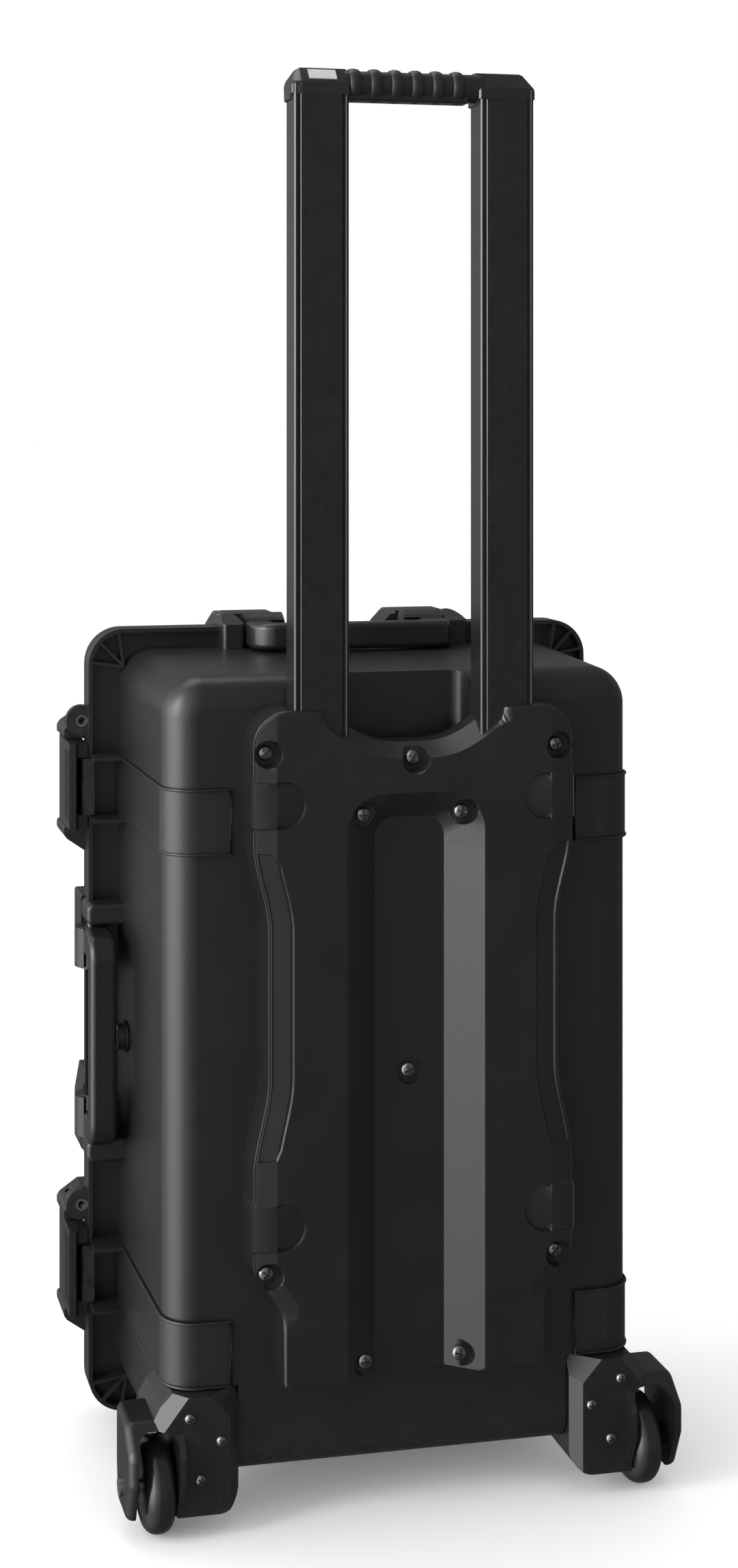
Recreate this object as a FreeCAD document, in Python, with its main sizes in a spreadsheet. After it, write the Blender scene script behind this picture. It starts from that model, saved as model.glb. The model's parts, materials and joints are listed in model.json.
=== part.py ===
import FreeCAD, Part
import math
import os
import re

import Sketcher

# A wheeled hard equipment case, standing upright on its two wheels and two feet, with the lid
# shut, the latches closed, the carry handles folded and the trolley handle pulled out.
#
# Case coordinates, used by every sub-part below:
#   x  to the right, from the middle of the case; the latches are at -x and the lid hinges at +x
#   y  into the depth, from the flat bottom face of the base; the trolley cover is at -y
#   z  up from the floor
# Each sub-part's Placement then moves it by face_y, which puts the origin under the middle of
# the whole case.

DIMENSIONS = (
    # base and lid shells
    ("face_y", -94, "depth position of the bottom face, seen from the origin"),
    ("face_half", 161, "half width of the bottom face"),
    ("face_low", 33, "lower end of the bottom face"),
    ("face_high", 556.5, "upper end of the bottom face"),
    ("face_corner", 25, "corner radius of the bottom face outline"),
    ("edge_round", 20, "rounding from the bottom face into the side walls"),
    ("draft", 4.3, "how much each side wall leans out between bottom face and rim"),
    ("draft_angle", 1.493, "the angle of that lean, in degrees"),
    ("wall", 4, "wall thickness of the shells"),
    ("rim_y", 165, "depth of the parting plane between base and lid"),
    ("rim_half", 188, "half width over the rim flange"),
    ("rim_low", 14, "lower edge of the rim flange"),
    ("rim_high", 575, "upper edge of the rim flange"),
    ("rim_corner", 26, "corner radius of the rim flange"),
    ("flange_thick", 5, "thickness of the rim flange"),
    ("skirt_deep", 14, "depth of the skirt that turns down from the flange"),
    ("skirt_wall", 3, "thickness of the skirt"),
    ("lid_gap", 0.6, "gap between base and lid at the parting plane"),
    ("lid_y", 215, "depth of the outer face of the lid"),
    ("lid_round", 16, "rounding of the outer edges of the lid"),
    ("hump_near", 36, "distance of a lid hump's near end from the middle of the handle beside it"),
    ("hump_far", 92, "distance of a lid hump's far end from the middle of the handle beside it"),
    ("top_hump", 582.5, "height of the lid's humps beside the top handle"),
    ("front_hump", 190.5, "distance from the middle of the lid's humps beside the front handle"),
    ("hump_deep", 30, "depth of the lid's humps"),
    ("lid_panel_drop", 2, "depth of the recessed bands in the lid face"),
    ("seal_half", 172.5, "half width of the seal at its middle line"),
    ("seal_wide", 4, "width of the seal"),
    ("seal_deep", 3.6, "depth of the seal"),
    # reinforcing bands
    ("band_rise", 1.5, "how far the reinforcing bands stand proud"),
    ("band_half", 21, "half height of a band"),
    ("band_inner", 119, "distance of a band's end from the middle"),
    ("band_top", 463, "height of the upper bands"),
    ("band_base", 115.5, "height of the lower bands"),
    # trolley cover
    ("cover_half", 110, "half width of the trolley cover at its shoulders"),
    ("cover_foot_half", 90, "half width of the trolley cover at its foot"),
    ("cover_waist", 100, "half width of the trolley cover at its waist"),
    ("cover_low", 98.5, "lower end of the trolley cover"),
    ("cover_high", 538.5, "upper end of the trolley cover"),
    ("cover_front", 26, "how far the trolley cover stands off the bottom face"),
    ("saddle_low", 516, "lowest point of the saddle in the cover's top edge"),
    ("trough_half", 47, "half width of the trough at the cover's front"),
    ("trough_floor_half", 24, "half width of the trough's floor"),
    ("trough_deep", 16, "depth of the trough"),
    ("trough_high", 482, "upper end of the trough"),
    ("screw_head", 5, "radius of the cover screws' heads"),
    ("screw_recess", 9, "radius of the recess round each cover screw"),
    ("screw_recess_deep", 10, "depth of the recess round each cover screw"),
    ("screw_shank", 2.4, "radius of the cover screws' shanks"),
    # trolley handle
    ("post_inner", 45, "distance of a post's inner edge from the middle"),
    ("post_wide", 37, "width of a post"),
    ("post_front", 23.5, "how far a post's front stands off the bottom face"),
    ("post_deep", 20, "depth of a post"),
    ("post_wall", 2, "wall thickness of a post"),
    ("post_low", 486, "lower end of the posts, pulled out"),
    ("post_high", 944, "upper end of the posts, pulled out"),
    ("post_slack", 0.8, "running clearance round a post"),
    ("notch_pitch", 74, "distance between the detent notches"),
    ("notch_first", 523, "height of the lowest detent notch, pulled out"),
    ("shoe_thick", 12, "thickness of the slide shoe under a post"),
    ("cap_low", 930, "lower end of the caps on the posts"),
    ("cap_high", 956, "upper end of the caps"),
    ("grip_radius", 9.6, "radius of the trolley grip between its rings"),
    ("ring_radius", 11, "radius of the trolley grip at a ring"),
    ("ring_pitch", 14.1, "distance between two rings"),
    ("ring_wide", 6.4, "width of a ring"),
    # wheels
    ("axle_y", 10, "depth of the wheel axles"),
    ("axle_z", 30, "height of the wheel axles, the wheels' radius"),
    ("wheel_inner", 157.5, "distance of a wheel's inner side from the middle"),
    ("wheel_wide", 20, "width of a wheel"),
    ("tyre_wall", 9, "thickness of the tyre"),
    ("bearing_radius", 11, "outer radius of a wheel bearing"),
    ("bearing_wide", 6, "width of a wheel bearing"),
    ("axle_radius", 4, "radius of a wheel axle"),
    ("housing_inner", 114.5, "distance of a wheel housing's inner side from the middle"),
    ("housing_outer", 190, "distance of a wheel housing's outer side from the middle"),
    ("housing_low", 16, "lower end of a wheel housing"),
    ("housing_high", 93, "upper end of a wheel housing"),
    ("housing_front", 11, "how far a wheel housing stands off the bottom face"),
    ("fender_wall", 6.5, "thickness of a wheel housing outside its wheel"),
    ("fender_high", 77, "top of the fender over a wheel"),
    ("fender_front", 20.5, "how far the fender over a wheel stands off the bottom face"),
    ("housing_back", 46, "depth of the back of a wheel housing"),
    ("well_slack", 0.7, "gap between a wheel housing and the base"),
    # carry handles
    ("pivot_y", 152, "depth of the carry handles' pivots"),
    ("top_pivot", 573, "height of the top handle's pivot"),
    ("front_pivot", 186, "distance of the front handle's pivot from the middle"),
    ("front_handle_z", 289, "height of the front handle's middle"),
    ("handle_half", 75, "half length of a carry handle"),
    ("handle_reach", 40, "distance from a carry handle's pivot to its far side"),
    ("handle_bar", 15, "depth of a carry handle's bar"),
    ("handle_thick", 19, "thickness of a carry handle"),
    ("handle_under", -12, "how far a folded carry handle reaches below its pivot"),
    ("handle_arm", 20, "width of a carry handle's arms"),
    ("handle_corner", 18, "radius of a carry handle's corners"),
    ("knuckle", 12, "outer radius of a carry handle's knuckle"),
    ("lug_half", 92, "distance of a handle lug's outer side from the handle's middle"),
    ("handle_pin", 3, "radius of a carry handle's pin"),
    ("top_lug_rise", 11, "how far a top handle lug rises over its pivot"),
    ("front_lug_rise", 5, "how far a front handle lug rises over its pivot"),
    ("top_room", 563, "height above which the rim is open for the top handle"),
    ("front_room", 176, "distance from the middle beyond which the rim is open for the front handle"),
    # latches
    ("latch_x", 196, "distance of the latch pivots from the middle"),
    ("latch_y", 196, "depth of the latch pivots"),
    ("latch_half", 31, "half width of a latch lever"),
    ("ear_thick", 9, "thickness of an ear that holds a latch"),
    ("latch_out", 203, "distance of the outermost latch surface from the middle"),
    ("latch_tip", 145, "depth of the free end of a latch lever"),
    ("latch_pin", 2.5, "radius of a latch pin"),
    ("hook_pin_x", 192.5, "distance of the latch hooks' pins from the middle"),
    ("hook_pin_y", 181, "depth of the latch hooks' pins"),
    ("hook_half", 20, "half width of a latch hook"),
    # hinges
    ("hinge_x", 194, "distance of the hinge axis from the middle"),
    ("hinge_y", 165.3, "depth of the hinge axis"),
    ("hinge_radius", 9, "outer radius of a hinge knuckle"),
    ("hinge_half", 45, "half length of a hinge"),
    ("hinge_pin", 3, "radius of a hinge pin"),
    ("hinge_slack", 0.05, "radial clearance of the hinge pin in the lid's knuckle"),
)

document = FreeCAD.newDocument("equipment_case")
sheet = document.addObject("Spreadsheet::Sheet", "Dimensions")
for row, (alias, number, meaning) in enumerate(DIMENSIONS, start=1):
    sheet.set(f"A{row}", meaning)
    sheet.set(f"B{row}", str(number))
    sheet.setAlias(f"B{row}", alias)
document.recompute()
ALIASES = {alias for alias, _, _ in DIMENSIONS}
NODES = []


# ---------------------------------------------------------------- helpers

def value(alias):
    """The number in the sheet's cell of that name."""
    return float(sheet.get(alias))


def bind(item, field, text):
    """Binds a property to an expression in which the sheet's names stand alone."""
    item.setExpression(field, re.sub(r"[a-z][a-z_]*", add_sheet, str(text)))


def add_sheet(found):
    word = found.group(0)
    return f"Dimensions.{word}" if word in ALIASES else word


def node(item, label, x="0", y="face_y", z="0", turn=None):
    """Names a finished sub-part and puts it in its place."""
    item.Label = label
    if turn:
        item.Placement = FreeCAD.Placement(FreeCAD.Vector(), FreeCAD.Rotation(*turn))
    for axis, text in zip("xyz", (x, y, z)):
        bind(item, f"Placement.Base.{axis}", text)
    NODES.append(item)
    return item


def body(name):
    return document.addObject("PartDesign::Body", name)


def sketch(owner, name, plane, lift):
    """An empty sketch on one of the body's origin planes, lifted along the plane's normal.

    XY: u is x, v is y, normal +z.  XZ: u is x, v is z, normal -y.  YZ: u is y, v is z, normal +x.
    """
    drawn = owner.newObject("Sketcher::SketchObject", name)
    support = [f for f in owner.Origin.OriginFeatures if f.Role == f"{plane}_Plane"]
    drawn.AttachmentSupport = [(support[0], "")]
    drawn.MapMode = "FlatFace"
    bind(drawn, "AttachmentOffset.Base.z", lift)
    return drawn


def fix_point(drawn, edge, point, name, u, v):
    for letter, kind, text in (("u", "DistanceX", u), ("v", "DistanceY", v)):
        index = drawn.addConstraint(Sketcher.Constraint(kind, -1, 1, edge, point, 1.0))
        drawn.renameConstraint(index, name + letter)
        bind(drawn, f"Constraints.{name}{letter}", text)


def outline(owner, name, plane, corners, lift="0"):
    """A closed sketch of straight lines through the given corners, each a (u, v) pair."""
    drawn = sketch(owner, name, plane, lift)
    count = len(corners)
    turns = [2 * math.pi * i / count for i in range(count)]
    start = [FreeCAD.Vector(100 * math.cos(a), 100 * math.sin(a), 0) for a in turns]
    for i in range(count):
        drawn.addGeometry(Part.LineSegment(start[i], start[(i + 1) % count]), False)
    for i in range(count):
        drawn.addConstraint(Sketcher.Constraint("Coincident", i, 2, (i + 1) % count, 1))
    for i, (u, v) in enumerate(corners):
        fix_point(drawn, i, 1, f"corner{chr(97 + i)}", u, v)
    return drawn


def rounded(owner, name, plane, left, right, low, high, radius, lift="0"):
    """A rectangle with four equal round corners."""
    drawn = sketch(owner, name, plane, lift)
    reach, bend = 100, 20
    inner = reach - bend
    for i, (su, sv) in enumerate(((1, 1), (-1, 1), (-1, -1), (1, -1))):
        centre = FreeCAD.Vector(su * inner, sv * inner, 0)
        ring = Part.Circle(centre, FreeCAD.Vector(0, 0, 1), bend)
        first = i * math.pi / 2
        drawn.addGeometry(Part.ArcOfCircle(ring, first, first + math.pi / 2), False)
    ends = (((inner, reach), (-inner, reach)), ((-reach, inner), (-reach, -inner)),
            ((-inner, -reach), (inner, -reach)), ((reach, -inner), (reach, inner)))
    for first, last in ends:
        drawn.addGeometry(Part.LineSegment(FreeCAD.Vector(*first, 0), FreeCAD.Vector(*last, 0)), False)
    for i in range(4):
        drawn.addConstraint(Sketcher.Constraint("Tangent", i, 2, 4 + i, 1))
        drawn.addConstraint(Sketcher.Constraint("Tangent", 4 + i, 2, (i + 1) % 4, 1))
    sides = ((right, "-", high, "-"), (left, "+", high, "-"), (left, "+", low, "+"), (right, "-", low, "+"))
    for i, (u, move_u, v, move_v) in enumerate(sides):
        fix_point(drawn, i, 3, f"centre{chr(97 + i)}",
                  f"{u} {move_u} ({radius})", f"{v} {move_v} ({radius})")
        index = drawn.addConstraint(Sketcher.Constraint("Radius", i, bend))
        drawn.renameConstraint(index, f"radius{chr(97 + i)}")
        bind(drawn, f"Constraints.radius{chr(97 + i)}", radius)
    return drawn


def circles(owner, name, plane, centres, radius, lift="0"):
    """One sketch of equal circles round the given (u, v) centres."""
    drawn = sketch(owner, name, plane, lift)
    for i, (u, v) in enumerate(centres):
        place = FreeCAD.Vector(30 * i, 0, 0)
        drawn.addGeometry(Part.Circle(place, FreeCAD.Vector(0, 0, 1), 5), False)
        fix_point(drawn, i, 3, f"centre{chr(97 + i)}", u, v)
        index = drawn.addConstraint(Sketcher.Constraint("Radius", i, 5))
        drawn.renameConstraint(index, f"radius{chr(97 + i)}")
        bind(drawn, f"Constraints.radius{chr(97 + i)}", radius)
    return drawn


def pad(owner, profile, length, back=False):
    """Pads a profile along its plane's normal, or against it with back."""
    feature = owner.newObject("PartDesign::Pad", f"{profile.Name}_pad")
    feature.Profile = profile
    bind(feature, "Length", length)
    feature.Reversed = back
    document.recompute()
    return feature


def pocket(owner, profile, length, back=False):
    """Cuts a profile against its plane's normal, or along it with back; stops if nothing is cut."""
    before = owner.Shape.Volume
    feature = owner.newObject("PartDesign::Pocket", f"{profile.Name}_pocket")
    feature.Profile = profile
    bind(feature, "Length", length)
    feature.Reversed = back
    document.recompute()
    if not owner.Shape.Volume < before - 1e-3:
        raise RuntimeError(f"{feature.Name} cuts nothing")
    return feature


def soften(owner, base, radius, chosen, kind="Fillet"):
    """Fillets or chamfers the edges of a feature that the test picks."""
    edges = [f"Edge{i}" for i, edge in enumerate(base.Shape.Edges, start=1) if chosen(edge)]
    if not edges:
        raise RuntimeError(f"no edge of {base.Name} to soften")
    feature = owner.newObject(f"PartDesign::{kind}", f"{base.Name}_{kind.lower()}")
    feature.Base = (base, edges)
    bind(feature, "Radius" if kind == "Fillet" else "Size", radius)
    document.recompute()
    return feature


def along(axis):
    """A test for straight edges that run along an axis."""
    index = "xyz".index(axis)

    def test(edge):
        first, last = edge.Vertexes[0].Point, edge.Vertexes[-1].Point
        step = last - first
        return edge.Curve.TypeId == "Part::GeomLine" and abs(abs(step[index]) - step.Length) < 1e-4
    return test


def level(axis, number):
    """A test for edges that lie in the plane axis = number."""
    index = "xyz".index(axis)

    def test(edge):
        box = edge.BoundBox
        low = (box.XMin, box.YMin, box.ZMin)[index]
        high = (box.XMax, box.YMax, box.ZMax)[index]
        return abs(low - number) < 1e-2 and abs(high - number) < 1e-2
    return test


def block(name, low, size):
    """A box from its low corner and its size, each three expressions."""
    item = document.addObject("Part::Box", name)
    for field, text in zip(("Length", "Width", "Height"), size):
        bind(item, field, text)
    for axis, text in zip("xyz", low):
        bind(item, f"Placement.Base.{axis}", text)
    return item


def rod(name, start, radius, length, axis):
    """A cylinder from the middle of one end, along +x, +y or +z."""
    item = document.addObject("Part::Cylinder", name)
    bind(item, "Radius", radius)
    bind(item, "Height", length)
    turns = {"x": ((0, 1, 0), 90), "y": ((1, 0, 0), -90), "z": ((0, 0, 1), 0)}
    direction, angle = turns[axis]
    turn = FreeCAD.Rotation(FreeCAD.Vector(*direction), angle)
    item.Placement = FreeCAD.Placement(FreeCAD.Vector(), turn)
    for letter, text in zip("xyz", start):
        bind(item, f"Placement.Base.{letter}", text)
    return item


def corner_cut(name, through, normal):
    """A large block whose lower face passes through a point, square to a direction."""
    tool = document.addObject("Part::Box", name)
    tool.Length, tool.Width, tool.Height = 120, 120, 60
    turn = FreeCAD.Rotation(FreeCAD.Vector(0, 0, 1), FreeCAD.Vector(*normal))
    corner = FreeCAD.Vector(*through) + turn.multVec(FreeCAD.Vector(-60, -60, 0))
    tool.Placement = FreeCAD.Placement(corner, turn)
    document.recompute()
    return tool


def fuse(name, items):
    item = document.addObject("Part::MultiFuse", name)
    item.Shapes = items
    item.Refine = True
    document.recompute()
    return item


def cut(name, base, tools):
    """The base less all the tools; stops if nothing is cut."""
    item = document.addObject("Part::Cut", name)
    item.Base = base
    item.Tool = tools[0] if len(tools) == 1 else fuse(f"{name}_tools", tools)
    item.Refine = True
    document.recompute()
    if not item.Shape.Volume < base.Shape.Volume - 1e-3:
        raise RuntimeError(f"{name} cuts nothing")
    return item


def common(name, first, second):
    item = document.addObject("Part::Common", name)
    item.Base = first
    item.Tool = second
    item.Refine = True
    document.recompute()
    return item


def mirror(name, source):
    """The source's mirror image across the middle of the case."""
    item = document.addObject("Part::Mirroring", name)
    item.Source = source
    item.Base = FreeCAD.Vector(0, 0, 0)
    item.Normal = FreeCAD.Vector(1, 0, 0)
    document.recompute()
    return item


def group(name, items):
    item = document.addObject("Part::Compound", name)
    item.Links = items
    document.recompute()
    return item


# ---------------------------------------------------------------- shells

def shell_form(name, depth, length, outward, half, low, high, corner, edge):
    """A drafted solid that is smallest at one depth, with round corners and round edges there.

    It grows from that depth along +y with outward 1, or along -y with outward -1.
    """
    owner = body(name)
    corners = ((f"-({half})", low), (half, low), (half, high), (f"-({half})", high))
    drawn = outline(owner, f"{name}_outline", "XZ", corners, f"-({depth})")
    form = pad(owner, drawn, length, back=outward > 0)
    bind(form, "TaperAngle", "draft_angle")
    document.recompute()
    upright = soften(owner, form, corner, lambda line: not level("y", line.BoundBox.YMin)(line))
    document.recompute()
    near = min if outward > 0 else max
    face_y = near(vertex.Y for vertex in upright.Shape.Vertexes)
    soften(owner, upright, edge, level("y", face_y))
    return owner


def base_form(name, grow):
    """The base's outer form, grown by a named amount or shrunk by the wall."""
    return shell_form(name, f"0 - ({grow})", f"rim_y + ({grow})", 1, f"face_half + ({grow})",
                      f"face_low - ({grow})", f"face_high + ({grow})", f"face_corner + ({grow})",
                      f"edge_round + ({grow})")


def frame_ring(name, near, far, outer_inset, inner_half, inner_low, inner_high, inner_corner):
    """A flat ring in the shape of the rim, between two depths."""
    owner = body(name)
    inset = f"({outer_inset})"
    outer = rounded(owner, f"{name}_outer", "XZ", f"-(rim_half - {inset})", f"rim_half - {inset}",
                    f"rim_low + {inset}", f"rim_high - {inset}", f"rim_corner - {inset}", f"-({near})")
    pad(owner, outer, f"{far} - ({near})", back=True)
    inner = rounded(owner, f"{name}_inner", "XZ", f"-({inner_half})", inner_half, inner_low, inner_high,
                    inner_corner, f"-({near})")
    pocket(owner, inner, f"{far} - ({near})", back=False)
    return owner


def latch_bands(form):
    """The raised bands: slices of the grown form, at both heights and on both sides."""
    slices = []
    for level_name in ("band_top", "band_base"):
        for side in (-1, 1):
            start = "band_inner" if side > 0 else "-band_inner - 120"
            slices.append(block(f"band_slice_{level_name}_{'right' if side > 0 else 'left'}",
                                (start, "-10", f"{level_name} - band_half"),
                                ("120", "rim_y - 2", "2 * band_half")))
    return common("bands", form, fuse("band_slices", slices))


def handle_lugs(name, turned):
    """Two arched lugs that hold a carry handle's pins, at the top or, turned, at the front."""
    lugs = []
    for side in (-1, 1):
        owner = body(f"{name}_{side + 1}")
        near, far = ("handle_half + 1", "lug_half") if side > 0 else ("-lug_half", "-handle_half - 1")
        if turned:
            drawn = rounded(owner, f"{name}_{side + 1}_outline", "XZ", "-front_pivot - front_lug_rise",
                            "-155", f"front_handle_z + {near}", f"front_handle_z + {far}", "5", "-rim_y")
        else:
            drawn = rounded(owner, f"{name}_{side + 1}_outline", "XZ", near, far, "face_high - 16",
                            "top_pivot + top_lug_rise", "7.5", "-rim_y")
        lug = pad(owner, drawn, "rim_y - pivot_y + 13")
        soften(owner, lug, "3", level("y", value("pivot_y") - 13))
        lugs.append(owner)
    if turned:
        return lugs
    front_y, front_z = value("pivot_y") - 13, value("top_pivot") + 4.5
    return [cut(f"{name}_sloped", fuse(f"{name}_pair", lugs),
                [corner_cut(f"{name}_slope_{side + 1}", (side * 84, front_y, front_z), (0, -0.28, 0.96))
                 for side in (-1, 1)])]


def feet():
    """Two moulded feet under the base, near the rim."""
    return [block(f"foot_{side + 1}", (f"{95 * side} - 17", "rim_y - 52", "0"), ("34", "40", "face_low"))
            for side in (-1, 1)]


def corner_gussets():
    """Three thin ribs at each corner, between the base's wall and the rim's skirt."""
    ribs = []
    for side, end, first in ((1, 1, 0), (-1, 1, 90), (-1, -1, 180), (1, -1, 270)):
        centre_z = "rim_high - rim_corner" if end > 0 else "rim_low + rim_corner"
        for angle in (first + 8, first + 45, first + 82):
            name = f"gusset_{angle}"
            rib = block(name, (f"{side} * (rim_half - rim_corner)", "rim_y - 15", centre_z),
                        ("rim_corner - 1", "12", "2"))
            rib.Placement.Rotation = FreeCAD.Rotation(FreeCAD.Vector(0, -1, 0), angle)
            ribs.append(rib)
    return ribs


def latch_ribs():
    """The two ribs behind each latch, between the base's wall and the flange."""
    ribs = []
    for level_name in ("band_top", "band_base"):
        for offset in (-1, 1):
            low = f"{level_name} + {offset} * (band_half + 1) - 1.2"
            ribs.append(block(f"latch_rib_{level_name}_{offset + 1}",
                              ("-rim_half + 1", "rim_y - 34", low),
                              ("rim_half - face_half - 1", "30", "2.4")))
    return ribs


def padlock_tabs():
    """A rounded tab above each latch, on the flange, for a padlock."""
    tabs = []
    for level_name in ("band_top", "band_base"):
        tabs.append(rod(f"padlock_tab_{level_name}", ("-rim_half - 4", "rim_y - 7", f"{level_name} + 46"),
                        "11", "7", "y"))
    return tabs


def hinge_blocks(name, spans, low_y, high_y):
    """Hinge knuckles with the blocks that join them to the flange, for each (start, end) span."""
    parts = []
    for level_name in ("band_top", "band_base"):
        for i, (start, end) in enumerate(spans):
            low = f"{level_name} + ({start})"
            wide = f"({end}) - ({start})"
            parts.append(rod(f"{name}_knuckle_{level_name}_{i}", ("hinge_x", "hinge_y", low),
                             "hinge_radius", wide, "z"))
            parts.append(block(f"{name}_block_{level_name}_{i}", ("rim_half - 3", low_y, low),
                               ("hinge_x - rim_half + 3", f"{high_y} - ({low_y})", wide)))
    return parts


BASE_SPANS = (("-hinge_half", "-15.3"), ("15.3", "hinge_half"))
LID_SPANS = (("-15", "15"),)


def hinge_clearance(name, spans):
    """The space that the other shell's knuckles turn in."""
    tools = []
    for level_name in ("band_top", "band_base"):
        for i, (start, end) in enumerate(spans):
            tools.append(rod(f"{name}_{level_name}_{i}",
                             ("hinge_x", "hinge_y", f"{level_name} + ({start}) - 0.5"),
                             "hinge_radius + 1", f"({end}) - ({start}) + 1", "z"))
    return tools


def wells(outer):
    """The base's own material round each wheel housing's well."""
    blocks = []
    for side in (-1, 1):
        start = "housing_inner - 5" if side > 0 else "-face_half - 20"
        box = block(f"well_box_{side + 1}", (start, "-1", "0"),
                    ("face_half + 25 - housing_inner", "housing_back + 6", "housing_high + 6"))
        blocks.append(common(f"well_wall_{side + 1}", outer, box))
    return blocks


def well_cuts():
    cuts = []
    for side in (-1, 1):
        start = "housing_inner - well_slack" if side > 0 else "-housing_outer - 20"
        size = ("housing_outer + 20 - housing_inner + well_slack",
                "housing_back + well_slack + 20", "housing_high + well_slack + 10")
        cuts.append(block(f"well_{side + 1}", (start, "-20", "-10"), size))
    return cuts


def finger_scoop():
    """The recess under the folded-in trolley grip."""
    scoop = body("scoop")
    drawn = rounded(scoop, "scoop_outline", "XZ", "-46", "46", "502", "600", "16", "5")
    base = pad(scoop, drawn, "21", back=True)
    soften(scoop, base, "9", level("y", 16))
    return scoop


def base_tools():
    """What is cut from the finished base: wells, scoop, gaps in the skirt and bores."""
    tools = well_cuts() + [finger_scoop()] + hinge_clearance("lid_knuckle_room", LID_SPANS)
    gap = "2 * handle_half + 2"
    start = "pivot_y - 14"
    near = "rim_y - flange_thick - pivot_y + 14"
    tools.append(block("top_gap", ("-handle_half - 1", start, "face_high + draft + 0.5"),
                       (gap, near, "60")))
    tools.append(block("top_rim_gap", ("-handle_half - 1", start, "top_room"), (gap, f"{near} + 6", "60")))
    beside = "front_handle_z - handle_half - 1"
    tools.append(block("front_gap", ("-260", start, beside), ("260 - face_half - draft - 0.5", near, gap)))
    tools.append(block("front_rim_gap", ("-260", start, beside), ("260 - front_room", f"{near} + 6", gap)))
    for name in ("band_top", "band_base"):
        tools.append(rod(f"hinge_bore_{name}", ("hinge_x", "hinge_y", f"{name} - hinge_half - 1"),
                         "hinge_pin + 0.02", "2 * hinge_half + 2", "z"))
        tools.append(rod(f"padlock_hole_{name}", ("-rim_half - 4", "rim_y - 9", f"{name} + 46"),
                         "4.2", "10", "y"))
    tools.append(rod("top_pin_bore", ("-lug_half + 4", "pivot_y", "top_pivot"), "handle_pin + 0.02",
                     "2 * lug_half - 8", "x"))
    tools.append(rod("front_pin_bore", ("-front_pivot", "pivot_y", "front_handle_z - lug_half + 4"),
                     "handle_pin + 0.02", "2 * lug_half - 8", "z"))
    tools.append(rod("valve_bore", ("-face_half - 20", "pivot_y - 22", "front_handle_z"), "8.05", "40", "x"))
    return tools


def base_shell():
    outer = base_form("base_outer", "0")
    cavity = base_form("base_cavity", "-wall")
    bands = latch_bands(base_form("base_grown", "band_rise"))
    flange = frame_ring("base_flange", "rim_y - flange_thick", "rim_y", "0", "face_half - 6",
                        "face_low + 6", "face_high - 6", "face_corner")
    skirt = frame_ring("base_skirt", "rim_y - skirt_deep", "rim_y - 1", "0", "rim_half - skirt_wall",
                       "rim_low + skirt_wall", "rim_high - skirt_wall", "rim_corner - skirt_wall")
    shell = cut("base_hollow", fuse("base_skin", [outer, flange, bands]), [cavity])
    scoop_wall = common("scoop_wall", outer, block("scoop_box", ("-52", "0", "496"), ("104", "21", "80")))
    solid = fuse("base_solid", [shell, skirt, scoop_wall] + wells(outer)
                 + handle_lugs("top_lug", False) + handle_lugs("front_lug", True) + feet()
                 + corner_gussets() + latch_ribs() + padlock_tabs()
                 + hinge_blocks("base_hinge", BASE_SPANS, "rim_y - 9", "rim_y"))
    return node(cut("base_cut", solid, base_tools()), "base_shell")


# ---------------------------------------------------------------- lid

def lid_form(name, grow):
    """The lid's outer form, grown or shrunk; it narrows from the parting plane to its outer face."""
    return shell_form(name, f"lid_y + ({grow})", f"lid_y - rim_y - lid_gap + ({grow})", -1,
                      f"face_half + draft - 2 + ({grow})", f"face_low - draft + 2 - ({grow})",
                      f"face_high + draft - 2 + ({grow})", f"face_corner + ({grow})",
                      f"lid_round + ({grow})")


def lid_bands():
    """Shallow bands across the lid's face that line up with the base's raised bands."""
    return [block(f"lid_band_{name}", ("-260", "lid_y - lid_panel_drop", f"{name} - band_half"),
                  ("520", "20", "2 * band_half")) for name in ("band_top", "band_base")]


def latch_ears():
    """A pair of ears on the lid's flange for each latch lever; each runs out into the flange in a wedge."""
    ears = []
    for name in ("band_top", "band_base"):
        for i, way in enumerate((1, -1)):
            owner = body(f"ear_{name}_{i}")
            near = f"{name} + {way} * (latch_half + 0.6)"
            round_off = f"{near} + {way} * (ear_thick - 3)"
            far = f"{near} + {way} * ear_thick"
            foot = f"{near} + {way} * (ear_thick + 9)"
            points = [("-150", near), ("-latch_out", near), ("-latch_out", round_off),
                      ("-latch_out + 2", far), ("-rim_half", foot), ("-150", foot)]
            drawn = outline(owner, f"ear_{name}_{i}_outline", "XZ", points[::way], "-rim_y - 4")
            ear = pad(owner, drawn, "latch_y - rim_y + 5", back=True)
            soften(owner, ear, "2", lambda edge: along("y")(edge)
                   and edge.CenterOfMass.x < -value("rim_half") - 4)
            ears.append(owner)
    return ears


def hump_grooves(name, place, turn):
    """Three slanting grooves across a hump."""
    grooves = []
    for i in range(3):
        groove = document.addObject("Part::Box", f"{name}_groove_{i}")
        groove.Length, groove.Width, groove.Height = 2.4, 60, 6
        spot = FreeCAD.Vector(*place) + turn.multVec(FreeCAD.Vector(9 * (i - 1), -20, 0))
        groove.Placement = FreeCAD.Placement(spot, turn * FreeCAD.Rotation(FreeCAD.Vector(0, 0, 1), 35))
        grooves.append(groove)
    return grooves


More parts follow.
